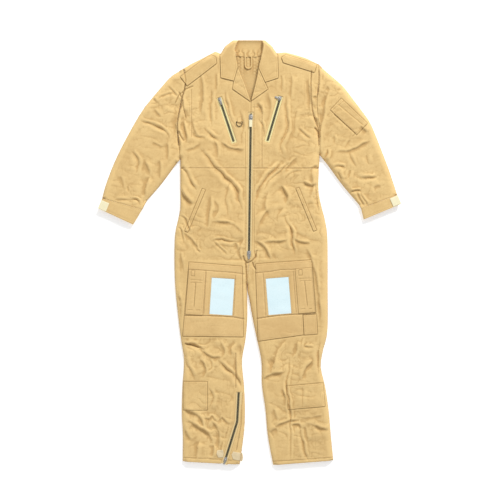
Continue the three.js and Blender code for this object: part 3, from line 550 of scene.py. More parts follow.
grooves = [Groove(*row) for row in GROOVES]
PATCHES = ["thigh_pocket_left", "thigh_pocket_right", "shin_pocket_left", "shin_pocket_right",
           "sleeve_pocket", "hand_pocket_left", "hand_pocket_right", "lapel_left", "lapel_right",
           "epaulette_left", "epaulette_right", "side_pocket_right", "pen_pocket_left", "pen_pocket_right", "collar"]
patch_edges = {}
for name in PATCHES:
    loops = top_outline(name) if name == "collar" else top_outline(name)[:1]
    patch_edges[name] = finder(np.vstack([stepped(loop, 2 * MM) for loop in loops]))
# Each sewn line's points, and how dark its painted shade is: a deeper groove is painted darker.
seam_lines = [(stepped(g.line, 2 * MM, closed=False), min(1.0, g.depth / (2.2 * MM))) for g in grooves]
seam_line_finder = finder(np.vstack([line for line, _ in seam_lines]))
seam_darkness = np.concatenate([np.full(len(line), dark) for line, dark in seam_lines])


def seam_edge_nearness(points, own=()):
    """How near a point is to a sewn line or a patch edge: 1 there, 0 in open cloth. It sets how dark the painted
    shade is there, and how far a panel is pressed down.
    """
    found = [seam_line_finder.find((x, y, 0))[1:] for x, y in points]
    number, far = np.array(found).T
    amount = seam_darkness[number.astype(int)] * np.exp(-((far / (2.0 * MM)) ** 2))
    for name, edge in patch_edges.items():
        if name not in own:
            amount = np.maximum(amount, np.exp(-((how_far(edge, points) / (2.6 * MM)) ** 2)))
    return amount


def front(points):
    """The height of the garment's upper side."""
    points = np.asarray(points, float)
    far = how_far(closed_finder, points)
    relief = crumple(points)
    for fold in folds:
        fold.add_to(relief, points)
    relief = np.where(relief < 0, -9 * MM * np.tanh(-relief / (9 * MM)), 6 * MM * np.tanh(relief / (6 * MM)))
    relief *= calm(points) * (0.12 + 0.88 * ramp(far, 0, 12 * MM))
    for groove in grooves:
        groove.add_to(relief, points)
    return EDGE_HEIGHT + (FRONT_TOP - EDGE_HEIGHT) * rolled(far, ROLL) + relief


# Pleats inside the back neck: x, width and height in millimetres.
NECK_PLEATS = [(-40, 2.5, 1.8), (-28, 3, 1.4), (19, 2.2, 2.3), (29, 2.4, 2.4), (-5, 3, 0.8)]


def back(points):
    """The height of the garment's lower side, which lies on the floor."""
    points = np.asarray(points, float)
    far = how_far(closed_finder, points)
    lift = (EDGE_HEIGHT - 1.2 * MM - BACK_TOP) * (1 - rolled(far, BACK_ROLL))
    for x, width, height in NECK_PLEATS:
        pleat = np.exp(-(((points[:, 0] - x * MM + 0.04 * (points[:, 1] - 0.7)) / (width * MM)) ** 2))
        upward = points[:, 1]
        lift = lift + height * MM * pleat * ramp(upward, 0.655, 0.70) * (1 - ramp(upward, 0.745, 0.75))
    return BACK_TOP + lift + 0.35 * MM * (1 + waves(points, 40 * MM, 10)) * ramp(far, 0, 12 * MM)


test = np.array([[0.1, 0.2], [-0.2, 0.4]])
print("heights", front(test).round(4), back(test).round(4))

# %% [markdown]
# ## Twill
# Cotton twill is matt, with fine diagonal ribs, and it isn't one even colour: large soft patches where it was
# washed and small flecks of yarn. On top of that, light and shade are painted into the colour: hollows are
# painted darker as shade, ridges are painted paler, partly as light and partly as wear, and seams and the cloth
# right beside each patch are painted darker as the shade in their grooves. The pattern reads object coordinates,
# so it has its true size on every piece. An attribute named painted_fold_shading says how high a point stands
# over the cloth round it, and one named painted_edge_shade says how near it is to a seam or a patch edge.


# %% Node helpers
def new_finish(name):
    made = bpy.data.materials.new(name)
    made.use_nodes = True
    tree = made.node_tree
    return made, tree, tree.nodes["Principled BSDF"]


def node(tree, kind, inputs=(), **settings):
    made = tree.nodes.new("ShaderNode" + kind)
    for key, value in settings.items():
        setattr(made, key, value)
    for key, value in dict(inputs).items():
        if isinstance(value, bpy.types.NodeSocket):
            tree.links.new(value, made.inputs[key])
        else:
            made.inputs[key].default_value = value
    return made


def mixed(tree, kind, factor, a, b):
    """A colour Mix node; a and b are colours or sockets."""
    made = tree.nodes.new("ShaderNodeMix")
    made.data_type, made.blend_type = "RGBA", kind
    for i, value in ((0, factor), (6, a), (7, b)):
        if isinstance(value, bpy.types.NodeSocket):
            tree.links.new(value, made.inputs[i])
        else:
            made.inputs[i].default_value = value
    return made.outputs[2]


def ranged(tree, value, low, high, to_low, to_high):
    return node(tree, "MapRange", {0: value, 1: low, 2: high, 3: to_low, 4: to_high}).outputs[0]


# %% Woven cloth, for the twill, the tapes and the webbing
def woven(name, light, dark, rib=0.9 * MM, rough=0.86, depth=0.12, sheen=0.12):
    made, tree, shader = new_finish(name)
    place = node(tree, "TexCoord").outputs["Object"]
    large = node(tree, "TexNoise", {"Vector": place, "Scale": 9.0, "Detail": 4.0, "Roughness": 0.6})
    small = node(tree, "TexNoise", {"Vector": place, "Scale": 160.0, "Detail": 3.0, "Roughness": 0.65})
    yarn = node(tree, "TexNoise", {"Vector": place, "Scale": 900.0, "Detail": 2.0})
    ribs = node(
        tree, "TexWave", {"Vector": place, "Scale": 0.444 * MM / rib / MM, "Distortion": 0.6, "Detail": 1.0},
        wave_type="BANDS", bands_direction="DIAGONAL",
    )
    blend = ranged(tree, large.outputs["Fac"], 0.32, 0.68, 0.0, 1.0)
    colour = mixed(tree, "MIX", blend, light, [0.5 * (a + b) for a, b in zip(light, dark)])
    fleck = ranged(tree, small.outputs["Fac"], 0.35, 0.75, 0.0, 0.35)
    colour = mixed(tree, "MIX", fleck, colour, dark)
    # Painted shade and highlight: points lower than the cloth round them are painted darker, as shade in a hollow,
    # and points higher are painted paler, as light on a ridge with a little wear.
    painted_fold_shading = node(tree, "Attribute", attribute_name="painted_fold_shading").outputs["Fac"]
    hollow = ranged(tree, painted_fold_shading, -1.0, -0.05, 0.75, 0.0)
    colour = mixed(tree, "MIX", hollow, colour, dark)
    ridge = ranged(tree, painted_fold_shading, 0.0, 1.0, 0.0, 0.5)
    colour = mixed(tree, "MIX", ridge, colour, [min(1, 1.07 * a) for a in light[:3]] + [1])
    # Painted shade: seams and the cloth right beside each patch are painted darker, as the shade that falls in their
    # grooves and under the patch edges.
    painted_edge_shade = node(tree, "Attribute", attribute_name="painted_edge_shade").outputs["Fac"]
    edge_shade_colour = [0.5 * a for a in dark[:3]] + [1]
    colour = mixed(tree, "MIX", ranged(tree, painted_edge_shade, 0.1, 1.0, 0.0, 0.7), colour, edge_shade_colour)
    line = ranged(tree, ribs.outputs["Fac"], 0.0, 1.0, 0.0, 0.12)
    colour = mixed(tree, "MIX", line, colour, dark)
    tree.links.new(colour, shader.inputs["Base Color"])
    uneven = ranged(tree, small.outputs["Fac"], 0.3, 0.7, rough - 0.06, rough + 0.06)
    tree.links.new(uneven, shader.inputs["Roughness"])
    height = node(tree, "Math", {0: ribs.outputs["Fac"], 1: yarn.outputs["Fac"]}, operation="ADD").outputs[0]
    bump = node(tree, "Bump", {"Strength": depth, "Distance": 0.2 * MM, "Height": height})
    tree.links.new(bump.outputs["Normal"], shader.inputs["Normal"])
    shader.inputs["Sheen Weight"].default_value = sheen
    shader.inputs["Sheen Roughness"].default_value = 0.5
    shader.inputs["Specular IOR Level"].default_value = 0.25
    return made


tan_twill = woven("tan_twill", (0.815, 0.583, 0.262, 1), (0.55, 0.345, 0.132, 1))
shaded_twill = woven("tan_twill_shaded", (0.79, 0.555, 0.25, 1), (0.58, 0.365, 0.145, 1))
zip_tape = woven("zip_tape", (0.90, 0.79, 0.40, 1), (0.74, 0.63, 0.30, 1), rib=0.7 * MM)
plain_tape = woven("plain_tape", (0.86, 0.66, 0.33, 1), (0.66, 0.49, 0.23, 1), rib=0.7 * MM)
cream_webbing = woven(
    "cream_webbing", (0.93, 0.87, 0.60, 1), (0.78, 0.70, 0.44, 1), rib=1.4 * MM, depth=0.35, sheen=0.4)


# %% Film and metals
def glossy(name, light, dark, scale, rough, metallic=0.0, coat=0.0, bump=0.08):
    """A smooth finish with a faint cloud of grime and fine scratches."""
    made, tree, shader = new_finish(name)
    place = node(tree, "TexCoord").outputs["Object"]
    cloud = node(tree, "TexNoise", {"Vector": place, "Scale": scale, "Detail": 4.0, "Roughness": 0.6})
    scratch = node(tree, "TexNoise", {"Vector": place, "Scale": scale * 14, "Detail": 2.0})
    amount = ranged(tree, cloud.outputs["Fac"], 0.35, 0.7, 0.0, 1.0)
    tree.links.new(mixed(tree, "MIX", amount, light, dark), shader.inputs["Base Color"])
    uneven = ranged(tree, scratch.outputs["Fac"], 0.3, 0.7, rough - 0.08, rough + 0.1)
    tree.links.new(uneven, shader.inputs["Roughness"])
    lump = node(tree, "Bump", {"Strength": bump, "Distance": 0.2 * MM, "Height": scratch.outputs["Fac"]})
    tree.links.new(lump.outputs["Normal"], shader.inputs["Normal"])
    shader.inputs["Metallic"].default_value = metallic
    shader.inputs["Coat Weight"].default_value = coat
    return made


clear_window = glossy("clear_window", (0.77, 0.93, 0.97, 1), (0.71, 0.89, 0.94, 1), 14, 0.3, coat=0.3)
nickel = glossy("nickel", (0.62, 0.60, 0.56, 1), (0.40, 0.38, 0.35, 1), 180, 0.34, metallic=1.0)
dark_metal = glossy("dark_metal", (0.11, 0.085, 0.055, 1), (0.055, 0.04, 0.03, 1), 180, 0.4, metallic=0.9)
zip_chain = glossy("zip_chain", (0.13, 0.13, 0.10, 1), (0.06, 0.065, 0.05, 1), 120, 0.42, metallic=0.8)
beige_tape = woven(
    "beige_tape", (0.80, 0.66, 0.42, 1), (0.66, 0.52, 0.31, 1), rib=1.2 * MM, depth=0.3, sheen=0.3)
thread = woven("thread", (0.86, 0.66, 0.36, 1), (0.70, 0.48, 0.22, 1), rib=0.5 * MM)
print("finishes:", [m.name for m in bpy.data.materials])


# %% [markdown]
# ## Sewing a sheet
# Every cloth piece is made in the same steps: the net of its outline, a height for each point, a thickness
# given by the Solidify modifier, and soft shading. The thickness grows downwards, so the upper side stays
# where the height says. The size of the rectangle that the sheet is cut from is then printed with it.


# %% The rectangle a piece is cut from
def cut_size(loops):
    """Width and length of the smallest rectangle round the piece, and the piece's own flat area."""
    def area(loop):
        x, y = loop.T
        return abs(np.dot(x, np.roll(y, -1)) - np.dot(y, np.roll(x, -1))) / 2

    best = None
    for angle in np.radians(np.arange(0, 90, 3)):
        turned = loops[0] @ np.array(
            [[math.cos(angle), -math.sin(angle)], [math.sin(angle), math.cos(angle)]]
        )
        w, l = np.ptp(turned, axis=0)
        if best is None or w * l < best[0] * best[1]:
            best = (float(w), float(l))
    flat = area(loops[0]) - sum(area(loop) for loop in loops[1:])
    return sorted(best), float(min(flat, best[0] * best[1]))


# %% A sheet of cloth as an object
def object_of(name, points, faces, finish):
    mesh = bpy.data.meshes.new(name)
    mesh.from_pydata([tuple(map(float, p)) for p in points], [], [tuple(map(int, f)) for f in faces])
    mesh.materials.append(finish)
    made = bpy.data.objects.new(name, mesh)
    bpy.context.scene.collection.objects.link(made)
    return made


def only(piece):
    bpy.ops.object.select_all(action="DESELECT")
    piece.select_set(True)
    bpy.context.view_layer.objects.active = piece


def worked(piece, kind, **settings):
    """Adds a modifier and applies it."""
    only(piece)
    modifier = piece.modifiers.new(kind.title(), kind)
    for key, value in settings.items():
        setattr(modifier, key, value)
    bpy.ops.object.modifier_apply(modifier=modifier.name)


def softened(piece, angle=math.radians(50)):
    only(piece)
    bpy.ops.object.shade_smooth_by_angle(angle=angle)


def eased(z, triangles, rounds):
    """The heights after every point has moved to its neighbours' mean, some times over."""
    sides = np.vstack([triangles[:, [0, 1]], triangles[:, [1, 2]], triangles[:, [2, 0]]])
    sides = np.unique(np.vstack([sides, sides[:, ::-1]]), axis=0)
    count = np.bincount(sides[:, 0], minlength=len(z)).clip(1)
    for _ in range(rounds):
        z = np.bincount(sides[:, 0], weights=z[sides[:, 1]], minlength=len(z)) / count
    return z


def sewn_sheet(name, nodes, loops, height, thick=0.9 * MM, finish=None, body="garment",
               step=PANEL_STEP, paints_edge_shade=False):
    flat, triangles, rim = net(loops, step)
    z = height(flat, rim)
    relief = (z - eased(z, triangles, 8)) / (1.4 * MM) + (z - eased(z, triangles, 1)) / (0.3 * MM)
    made = object_of(name, np.column_stack([flat, z]), triangles, finish or tan_twill)
    # Painted fold shading: how far each point stands above or below the cloth round it, from -1 to 1; the twill
    # paints hollows darker as shade and ridges paler as light and some wear.
    painted_fold_shading = made.data.attributes.new("painted_fold_shading", "FLOAT", "POINT")
    painted_fold_shading.data.foreach_set("value", np.clip(relief, -1, 1).astype(np.float32))
    # Painted shade along seams and beside patches, for the sheets that take it.
    painted_edge_shade = made.data.attributes.new("painted_edge_shade", "FLOAT", "POINT")
    painted_edge_shade.data.foreach_set("value", (seam_edge_nearness(flat, nodes) if paints_edge_shade else 0 * z).astype(np.float32))
    worked(made, "SOLIDIFY", thickness=thick, offset=-1)
    softened(made)
    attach(made, body)
    if nodes:
        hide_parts(*nodes)
    size, area = cut_size(loops)
    print(f"{name}: {size[0] * 1000:.0f} x {size[1] * 1000:.0f} mm, {len(made.data.polygons)} faces")
    return made


# %% [markdown]
# ## The panels
# Six panels make the front and five the back. The front panels take their folds from the height above, and
# the seams between front and back are the closed edges where the two meet, so the panels stand for them too.

# %% Front panels
def panel_top(points, rim):
    """The front, turned in at the panel's own edges and pressed down right beside each patch."""
    waist = abs(points[:, 1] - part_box("bodice_back")[0].y) < 9 * MM
    turned = np.where(waist, 0.3, 1.2) * MM * (1 - rolled(rim, 3 * MM))
    return front(points) - turned - 1.3 * MM * seam_edge_nearness(points)


FRONT_SEAMS = {"bodice": [], "trouser": ["side_seam", "inseam"], "sleeve": ["overarm_seam", "underarm_seam"]}
for panel in FRONTS:
    kind, side = panel.split("_")[0], panel.split("_")[-1]
    stands_for = [panel] + [f"{seam}_{side}" for seam in FRONT_SEAMS[kind]]
    sewn_sheet(panel + "_cloth", stands_for, top_outline(panel), panel_top, paints_edge_shade=True)

# %% Back panels
BACKS = ["bodice_back", "trouser_back_left", "trouser_back_right", "sleeve_back_left", "sleeve_back_right"]
for panel in BACKS:
    sewn_sheet(panel + "_cloth", [panel], top_outline(panel), lambda p, rim: back(p), step=7 * MM)

# %% [markdown]
# ## Patch pockets
# A patch pocket is a second layer of twill on the panel. Its edge is turned in and sewn down five millimetres
# from the fold, so the edge is round and the row of stitches lies in a shallow groove. The patch follows the
# panel under it, because it takes its height from the same folds.


# %% The height of a patch
def patched(lift, soft=1.0):
    def height(points, rim):
        edge = -1.1 * MM * (1 - rolled(rim, 3.2 * MM))
        stitched = -0.55 * MM * np.exp(-(((rim - 5.5 * MM) / (1.6 * MM)) ** 2))
        return front(points) + lift * MM + edge + soft * stitched
    return height


PATCH_STEP = 2.6 * MM
for side in ("left", "right"):
    sewn_sheet("thigh_patch_" + side, ["thigh_pocket_" + side], top_outline("thigh_pocket_" + side),
               patched(2.3),
               thick=1.4 * MM, step=PATCH_STEP, finish=shaded_twill, paints_edge_shade=True)
    sewn_sheet("pen_patch_" + side, ["pen_pocket_" + side], top_outline("pen_pocket_" + side), patched(4.6),
               thick=1.2 * MM, step=PATCH_STEP, finish=shaded_twill,
               paints_edge_shade=True)
    sewn_sheet("shin_patch_" + side, ["shin_pocket_" + side], top_outline("shin_pocket_" + side),
               patched(1.8),
               thick=1.2 * MM, step=PATCH_STEP)
    sewn_sheet("hand_welt_" + side, ["hand_pocket_" + side], top_outline("hand_pocket_" + side),
               patched(1.9, 0.6), thick=1.3 * MM, step=1.8 * MM)
sewn_sheet("side_patch_right", ["side_pocket_right"], top_outline("side_pocket_right"), patched(1.8),
           thick=1.2 * MM, step=PATCH_STEP, finish=shaded_twill)
sewn_sheet("sleeve_patch", ["sleeve_pocket"], top_outline("sleeve_pocket"), patched(1.9), thick=1.3 * MM,
           step=PATCH_STEP)

# %% [markdown]
# ## Map windows
# A map window is a clear film sewn behind a cut-out of the pocket, with a pale backing under it. The film
# lies in the cut-out, a little lower than the cloth round it, so the cloth's cut edge frames it.

# %% Windows and the chest pockets' bags
for side in ("left", "right"):
    sewn_sheet("map_film_" + side, ["map_window_" + side], top_outline("map_window_" + side),
               lambda p, rim: front(p) + 1.0 * MM,
               thick=0.4 * MM, step=5 * MM, finish=clear_window)
    sewn_sheet("chest_bag_" + side, ["chest_pocket_" + side], top_outline("chest_pocket_" + side)[:1],
               lambda p, rim: 14.6 * MM + 0.4 * MM * waves(p, 40 * MM, 4), thick=0.8 * MM, step=9 * MM)

# %% [markdown]
# ## Collar and lapels
# The collar is one piece of cloth that stands at the back of the neck, rolls over and lies on the shoulders.
# It is made as one sheet: high on the two leaves, low inside the neck, with a tight roll between them. The
# sheet's cut is the shape it shows. Its outline and roll lines repeat the part's numbers instead of reading
# the frame.

# %% Collar
COLLAR = np.array([
    (-45, 696.4), (-59.5, 644.4), (-107.5, 656.4), (-110.5, 744.4), (-101.7, 759.1), (-92.5, 774.4),
    (-62.5, 797.4), (57.5, 797.4), (83.5, 775.4), (93.6, 760.5), (104.5, 744.4), (107.5, 655.4),
    (58.5, 639.4), (34.5, 692.4),
    (37.5, 711.4), (43.5, 739), (20, 736.5), (-20, 736.5), (-51.5, 739), (-48.5, 718.4),
]) * MM
COLLAR_TOP = stepped(COLLAR[3:11], 3 * MM, closed=False)
ROLL_LINES = [
    stepped(curve_through(np.array(line) * MM), 2 * MM, closed=False) for line in (
        [(-45, 696.4), (-48.5, 718.4), (-52.5, 744.4), (-55.5, 763), (-51, 781), (-45, 797.4)],
        [(34.5, 692.4), (37.5, 711.4), (44.5, 744.4), (50, 763), (50.5, 781), (48, 797.4)])
]


def collar_height(points, rim):
    within = np.full(len(points), 1e9)
    for line, sense in zip(ROLL_LINES, (1, -1)):
        x = np.interp(points[:, 1], line[:, 1], line[:, 0])
        within = np.minimum(within, sense * (points[:, 0] - x))
    leaf = 1 - ramp(within + 1.4 * MM * waves(points, 11 * MM, 3), -1.0 * MM, 2.6 * MM)
    top = how_far(finder(COLLAR_TOP), points)
    leaf_z = 23.0 * MM + 0.35 * MM * waves(points, 30 * MM, 5) - 0.8 * MM * (1 - rolled(rim, 3 * MM))
    leaf_z -= 0.5 * MM * np.exp(-(((rim - 6 * MM) / (1.6 * MM)) ** 2))
    leaf_z = 4 * MM + (leaf_z - 4 * MM) * rolled(top, 11 * MM)
    leaf_z += 0.9 * MM * creases(points, 40 * MM, 4)
    gathers = 1.5 * MM * np.sin(points[:, 0] / (3.1 * MM) + 2 * waves(points, 14 * MM, 6))
    stand = 4.8 * MM + gathers * (1 - ramp(points[:, 1], 746 * MM, 772 * MM))
    stand = stand + 6 * MM * np.exp(-top / (7 * MM))
    return stand + (leaf_z - stand) * leaf


def lapel_top(points, rim):
    edge = 1.3 * MM * (1 - rolled(rim, 3.5 * MM)) + 0.5 * MM * np.exp(-(((rim - 6 * MM) / (1.6 * MM)) ** 2))
    return np.maximum(front(points), 19.0 * MM) + 3.0 * MM - edge


sewn_sheet("collar_cloth", ["collar"], [COLLAR], collar_height, thick=1.1 * MM, step=2.2 * MM)
for side in ("left", "right"):
    sewn_sheet("lapel_cloth_" + side, ["lapel_" + side], top_outline("lapel_" + side), lapel_top,
               thick=1.1 * MM, step=2.2 * MM, paints_edge_shade=True)

# %% [markdown]
# ## Shoulder straps, cuff tabs and hanging loop
# These pieces move, so each rides on its own body. A strap is stiff, because it is two layers of twill, and
# it bridges the hollow at the shoulder instead of following it. The tabs are brushed loop fabric.

# %% Straps, tabs and loop
def strap_top(points, rim):
    edge = 1.1 * MM * (1 - rolled(rim, 3.2 * MM)) + 0.5 * MM * np.exp(-(((rim - 5.5 * MM) / (1.6 * MM)) ** 2))
    return np.maximum(front(points) + 2.4 * MM, 16.5 * MM) + 0.8 * MM - edge


for side in ("left", "right"):
    sewn_sheet("strap_" + side, ["epaulette_" + side], top_outline("epaulette_" + side), strap_top,
               thick=1.3 * MM, step=2.2 * MM, body="epaulette_" + side)
    sewn_sheet("tab_" + side, ["cuff_tab_" + side], top_outline("cuff_tab_" + side),
               lambda p, rim: (
                   21.9 * MM + 0.15 * MM * waves(p, 9 * MM, 7) - 0.7 * MM * (1 - rolled(rim, 2 * MM))),
               thick=1.1 * MM, step=1.4 * MM, finish=cream_webbing,
               body="cuff_tab_" + side)
sewn_sheet("hanging_loop", ["hanger_loop"], top_outline("hanger_loop"),
           lambda p, rim: 5.0 * MM + 1.6 * MM * rolled(rim, 2.6 * MM), thick=1.0 * MM, step=1.3 * MM,
           body="hanger_loop")

# %% [markdown]
# ## Cuffs
# A cuff is a short band of doubled twill round the end of the sleeve. Laid flat it becomes a low tube with
# round ends, so its section is a superellipse. The band is made as rings of points from the sleeve to the
# hand.


# %% Cuff bands
def cuff(side, order):
    hem_out, hem_in, arm_in, arm_out = top_outline("cuff_" + side)[0][list(order)]
    around = np.arange(112) / 112 * 2 * math.pi
    across = np.sign(np.cos(around)) * abs(np.cos(around)) ** 0.5
    up = np.sign(np.sin(around)) * abs(np.sin(around)) ** 0.62
    rows = np.array([0, 1.2, 3.5, 5, 6.5, 10, 14, 18, 22, 26, 30, 33, 34.5, 36, 38])
    rings = []
    for row in rows:
        t = row / rows[-1]
        a, b = hem_out + (arm_out - hem_out) * t, hem_in + (arm_in - hem_in) * t
        dip = 0.6 * MM * (abs(row - 5) < 0.1 or abs(row - 34.5) < 0.1) + 0.8 * MM * (row in (0, rows[-1]))
        flat = (a + b) / 2 + np.outer(across, (b - a) / 2)
        ripple = 0.5 * MM * waves(flat, 24 * MM, 8) * abs(up)
        z = 10.3 * MM + (9.9 * MM - dip) * up + np.where(up > 0, ripple, 0)
        rings.append(np.column_stack([flat, z]))
    count = len(around)
    faces = [
        (r * count + i, r * count + (i + 1) % count, (r + 1) * count + (i + 1) % count, (r + 1) * count + i)
        for r in range(len(rows) - 1) for i in range(count)
    ]
    made = object_of("cuff_band_" + side, np.vstack(rings), faces, tan_twill)
    only(made)
    bpy.ops.object.mode_set(mode="EDIT")
    bpy.ops.mesh.select_all(action="SELECT")
    bpy.ops.mesh.normals_make_consistent(inside=False)
    bpy.ops.object.mode_set(mode="OBJECT")
    worked(made, "SOLIDIFY", thickness=1.4 * MM, offset=-1)
    softened(made)
    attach(made, "garment")
    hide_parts("cuff_" + side)


cuff("left", (0, 1, 2, 3))
cuff("right", (2, 1, 0, 3))

# %% [markdown]
# ## Ankle tabs
# Beside the ankle zip lie two short ends of brushed tape, sewn into the hem, that fasten the leg round a
# boot.

# %% Ankle tabs
ANKLE_TABS = {
    "low": [(-62, -775), (-28, -783), (-24, -768), (-28, -752), (-62, -745), (-68, -758)],
    "high": [(-122, -741), (-100, -738), (-97, -752), (-99, -768), (-118, -768), (-124, -754)],
}
for name, corners in ANKLE_TABS.items():
    sewn_sheet("ankle_tab_" + name, [], [np.array(corners) * MM], patched(2.4, 0.5), thick=1.2 * MM,
               step=1.8 * MM,
               finish=beige_tape)

# %% [markdown]
# ## Zips
# A zip is two woven tapes with metal teeth clamped on their edges. Closed, each tooth sits in the gap between
# two teeth of the other side. One tooth is modelled once, and the chain repeats it, so it has few faces.

# %% One tooth
PITCH = 2.6 * MM
bpy.ops.object.select_all(action="DESELECT")
bpy.ops.mesh.primitive_cube_add(size=1, scale=(3.4 * MM, 1.5 * MM, 2.4 * MM), location=(2.5 * MM, 0, 0))
tooth = bpy.context.object
bpy.ops.object.transform_apply(location=True, rotation=True, scale=True)
for face in tooth.data.polygons:
    face.select = face.normal.x < -0.9
bpy.ops.object.mode_set(mode="EDIT")
bpy.ops.mesh.select_mode(type="FACE")
bpy.ops.mesh.extrude_region_move(TRANSFORM_OT_translate={"value": (-1.5 * MM, 0, 0)})
bpy.ops.transform.resize(value=(1, 0.7, 0.75))
bpy.ops.object.mode_set(mode="OBJECT")
TOOTH_POINTS = np.array([v.co for v in tooth.data.vertices])
TOOTH_FACES = [tuple(f.vertices) for f in tooth.data.polygons]
bpy.data.objects.remove(tooth)
print("a tooth has", len(TOOTH_FACES), "faces")


# %% Tapes and chains
def copies(places, points, faces):
    """The shape at every place; a place is an origin and the directions of x and y."""
    all_points, all_faces = [], []
    for origin, x, y in places:
        moved = np.outer(points[:, 0], x) + np.outer(points[:, 1], y) + origin
        start = len(points) * len(all_points)
        all_points.append(np.column_stack([moved, points[:, 2]]))
        all_faces += [tuple(i + start for i in f) for f in faces]
    return np.vstack(all_points), all_faces


def chain(name, line, nodes, finish):
    line = stepped(line, PITCH / 2, closed=False)
    gone = np.concatenate([[0], np.cumsum(np.linalg.norm(np.diff(line, axis=0), axis=1))])
    steps = np.arange(4 * MM, gone[-1] - 4 * MM, PITCH / 2)
    centre = np.column_stack([np.interp(steps, gone, line[:, i]) for i in (0, 1)])
    run = np.gradient(centre, axis=0)
    run /= np.linalg.norm(run, axis=1)[:, None]
    right = np.column_stack([run[:, 1], -run[:, 0]])
    places = [
        (c, r if i % 2 else -r, d if i % 2 else -d) for i, (c, r, d) in enumerate(zip(centre, right, run))
    ]
    points, faces = copies(places, TOOTH_POINTS + (0, 0, 17.3 * MM), TOOTH_FACES)
    teeth = object_of(name + "_teeth", points, faces, zip_chain)
    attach(teeth, "garment")
    for side, sense in (("l", -1), ("r", 1)):
        long = np.vstack([centre[0] - 7 * MM * run[0], centre, centre[-1] + 7 * MM * run[-1]])
        out = np.vstack([right[0], right, right[-1]])
        near, far = long + sense * 0.25 * MM * out, long + sense * 13 * MM * out
        sewn_sheet(f"{name}_tape_{side}", [], [np.vstack([near, far[::-1]])[::sense]],
                   lambda p, rim: np.full(len(p), 17.5 * MM) - 0.3 * MM * (1 - rolled(rim, 1.5 * MM)),
                   thick=0.8 * MM, finish=finish, step=2.2 * MM)
    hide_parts(*nodes)
    print(name, len(places), "teeth")


chain("front_zip", MAIN_CHAIN, ["zip_tape_left", "zip_tape_right"], plain_tape)
for side in ("left", "right"):
    chain("chest_zip_" + side, CHEST_CHAINS[side], ["chest_zip_" + side], zip_tape)
chain("ankle_zip", ANKLE_CHAIN, ["ankle_zip"], plain_tape)

# %% [markdown]
# ## Sliders, pulls and ring
# Sliders and pulls are small castings. The part has their true shape, so each is copied from it, its loose
# triangles are merged, flat faces are joined, and all edges are rounded, as a casting's are.


# %% Castings
def casting(name, body, finish, round_by=0.35 * MM, segments=2):
    source = frame["nodes"][body]
    mesh = source.data.copy()
    mesh.materials.clear()
    mesh.materials.append(finish)
    made = bpy.data.objects.new(name, mesh)
    scene_objects.link(made)
    only(made)
    bpy.ops.object.mode_set(mode="EDIT")
    bpy.ops.mesh.select_all(action="SELECT")
    bpy.ops.mesh.remove_doubles(threshold=0.01 * MM)
    bpy.ops.mesh.dissolve_limited(angle_limit=math.radians(2))
    bpy.ops.object.mode_set(mode="OBJECT")
    worked(made, "BEVEL", width=round_by, segments=segments, limit_method="ANGLE",
           angle_limit=math.radians(35))
    softened(made)
    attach(made, body)
    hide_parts(body)
    print(name, len(made.data.polygons), "faces")
    return made


scene_objects = bpy.context.scene.collection.objects
SLIDERS = ["zip_slider_upper", "zip_slider_lower", "chest_slider_left", "chest_slider_right", "ankle_slider"]
for slider in SLIDERS:
    casting(slider + "_cast", slider, nickel)
for pull in ("zip_pull_lower", "chest_pull_left", "chest_pull_right", "ankle_pull"):
    casting(pull + "_cast", pull, nickel)
casting("d_ring", "chest_ring", dark_metal, 0.8 * MM, 3)

# %% [markdown]
# ## Pull of the front zip
# The front zip's pull is long: a metal eye on the slider, and a doubled piece of cream webbing sewn through
# it.

# %% Webbing pull
eye = casting("front_pull_eye", "zip_pull_upper", nickel)
eye_low, eye_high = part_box("zip_pull_upper")
cut_y = eye_low.y + 24 * MM
only(eye)
bpy.ops.object.mode_set(mode="EDIT")
bpy.ops.mesh.select_all(action="SELECT")
bpy.ops.mesh.bisect(plane_co=(0, cut_y, 0), plane_no=(0, 1, 0), use_fill=True, clear_inner=True)
bpy.ops.object.mode_set(mode="OBJECT")
middle_x = (eye_low.x + eye_high.x) / 2
bpy.ops.object.select_all(action="DESELECT")
bpy.ops.mesh.primitive_cube_add(size=1, location=(middle_x - 0.1 * MM, eye_low.y + 13.2 * MM, 22.35 * MM),
                                scale=(11.2 * MM, 26 * MM, 2.6 * MM))
webbing = bpy.context.object
webbing.name = "front_pull_webbing"
bpy.ops.object.transform_apply(location=True, rotation=True, scale=True)
bpy.ops.object.mode_set(mode="EDIT")
bpy.ops.mesh.select_all(action="SELECT")
bpy.ops.mesh.subdivide(number_cuts=3)
bpy.ops.mesh.bevel(offset=0.15 * MM, segments=1)
bpy.ops.object.mode_set(mode="OBJECT")
worked(webbing, "BEVEL", width=0.8 * MM, segments=3, limit_method="ANGLE", angle_limit=math.radians(40))
softened(webbing)
webbing.data.materials.append(cream_webbing)
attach(webbing, "zip_pull_upper")

# %% [markdown]
# ## Ring tab
# The D-shaped ring hangs in a loop of twill that is sewn to the chest. The loop is a strip that goes under
# the ring's bar, round it and back on top, so its side view is one long hook.

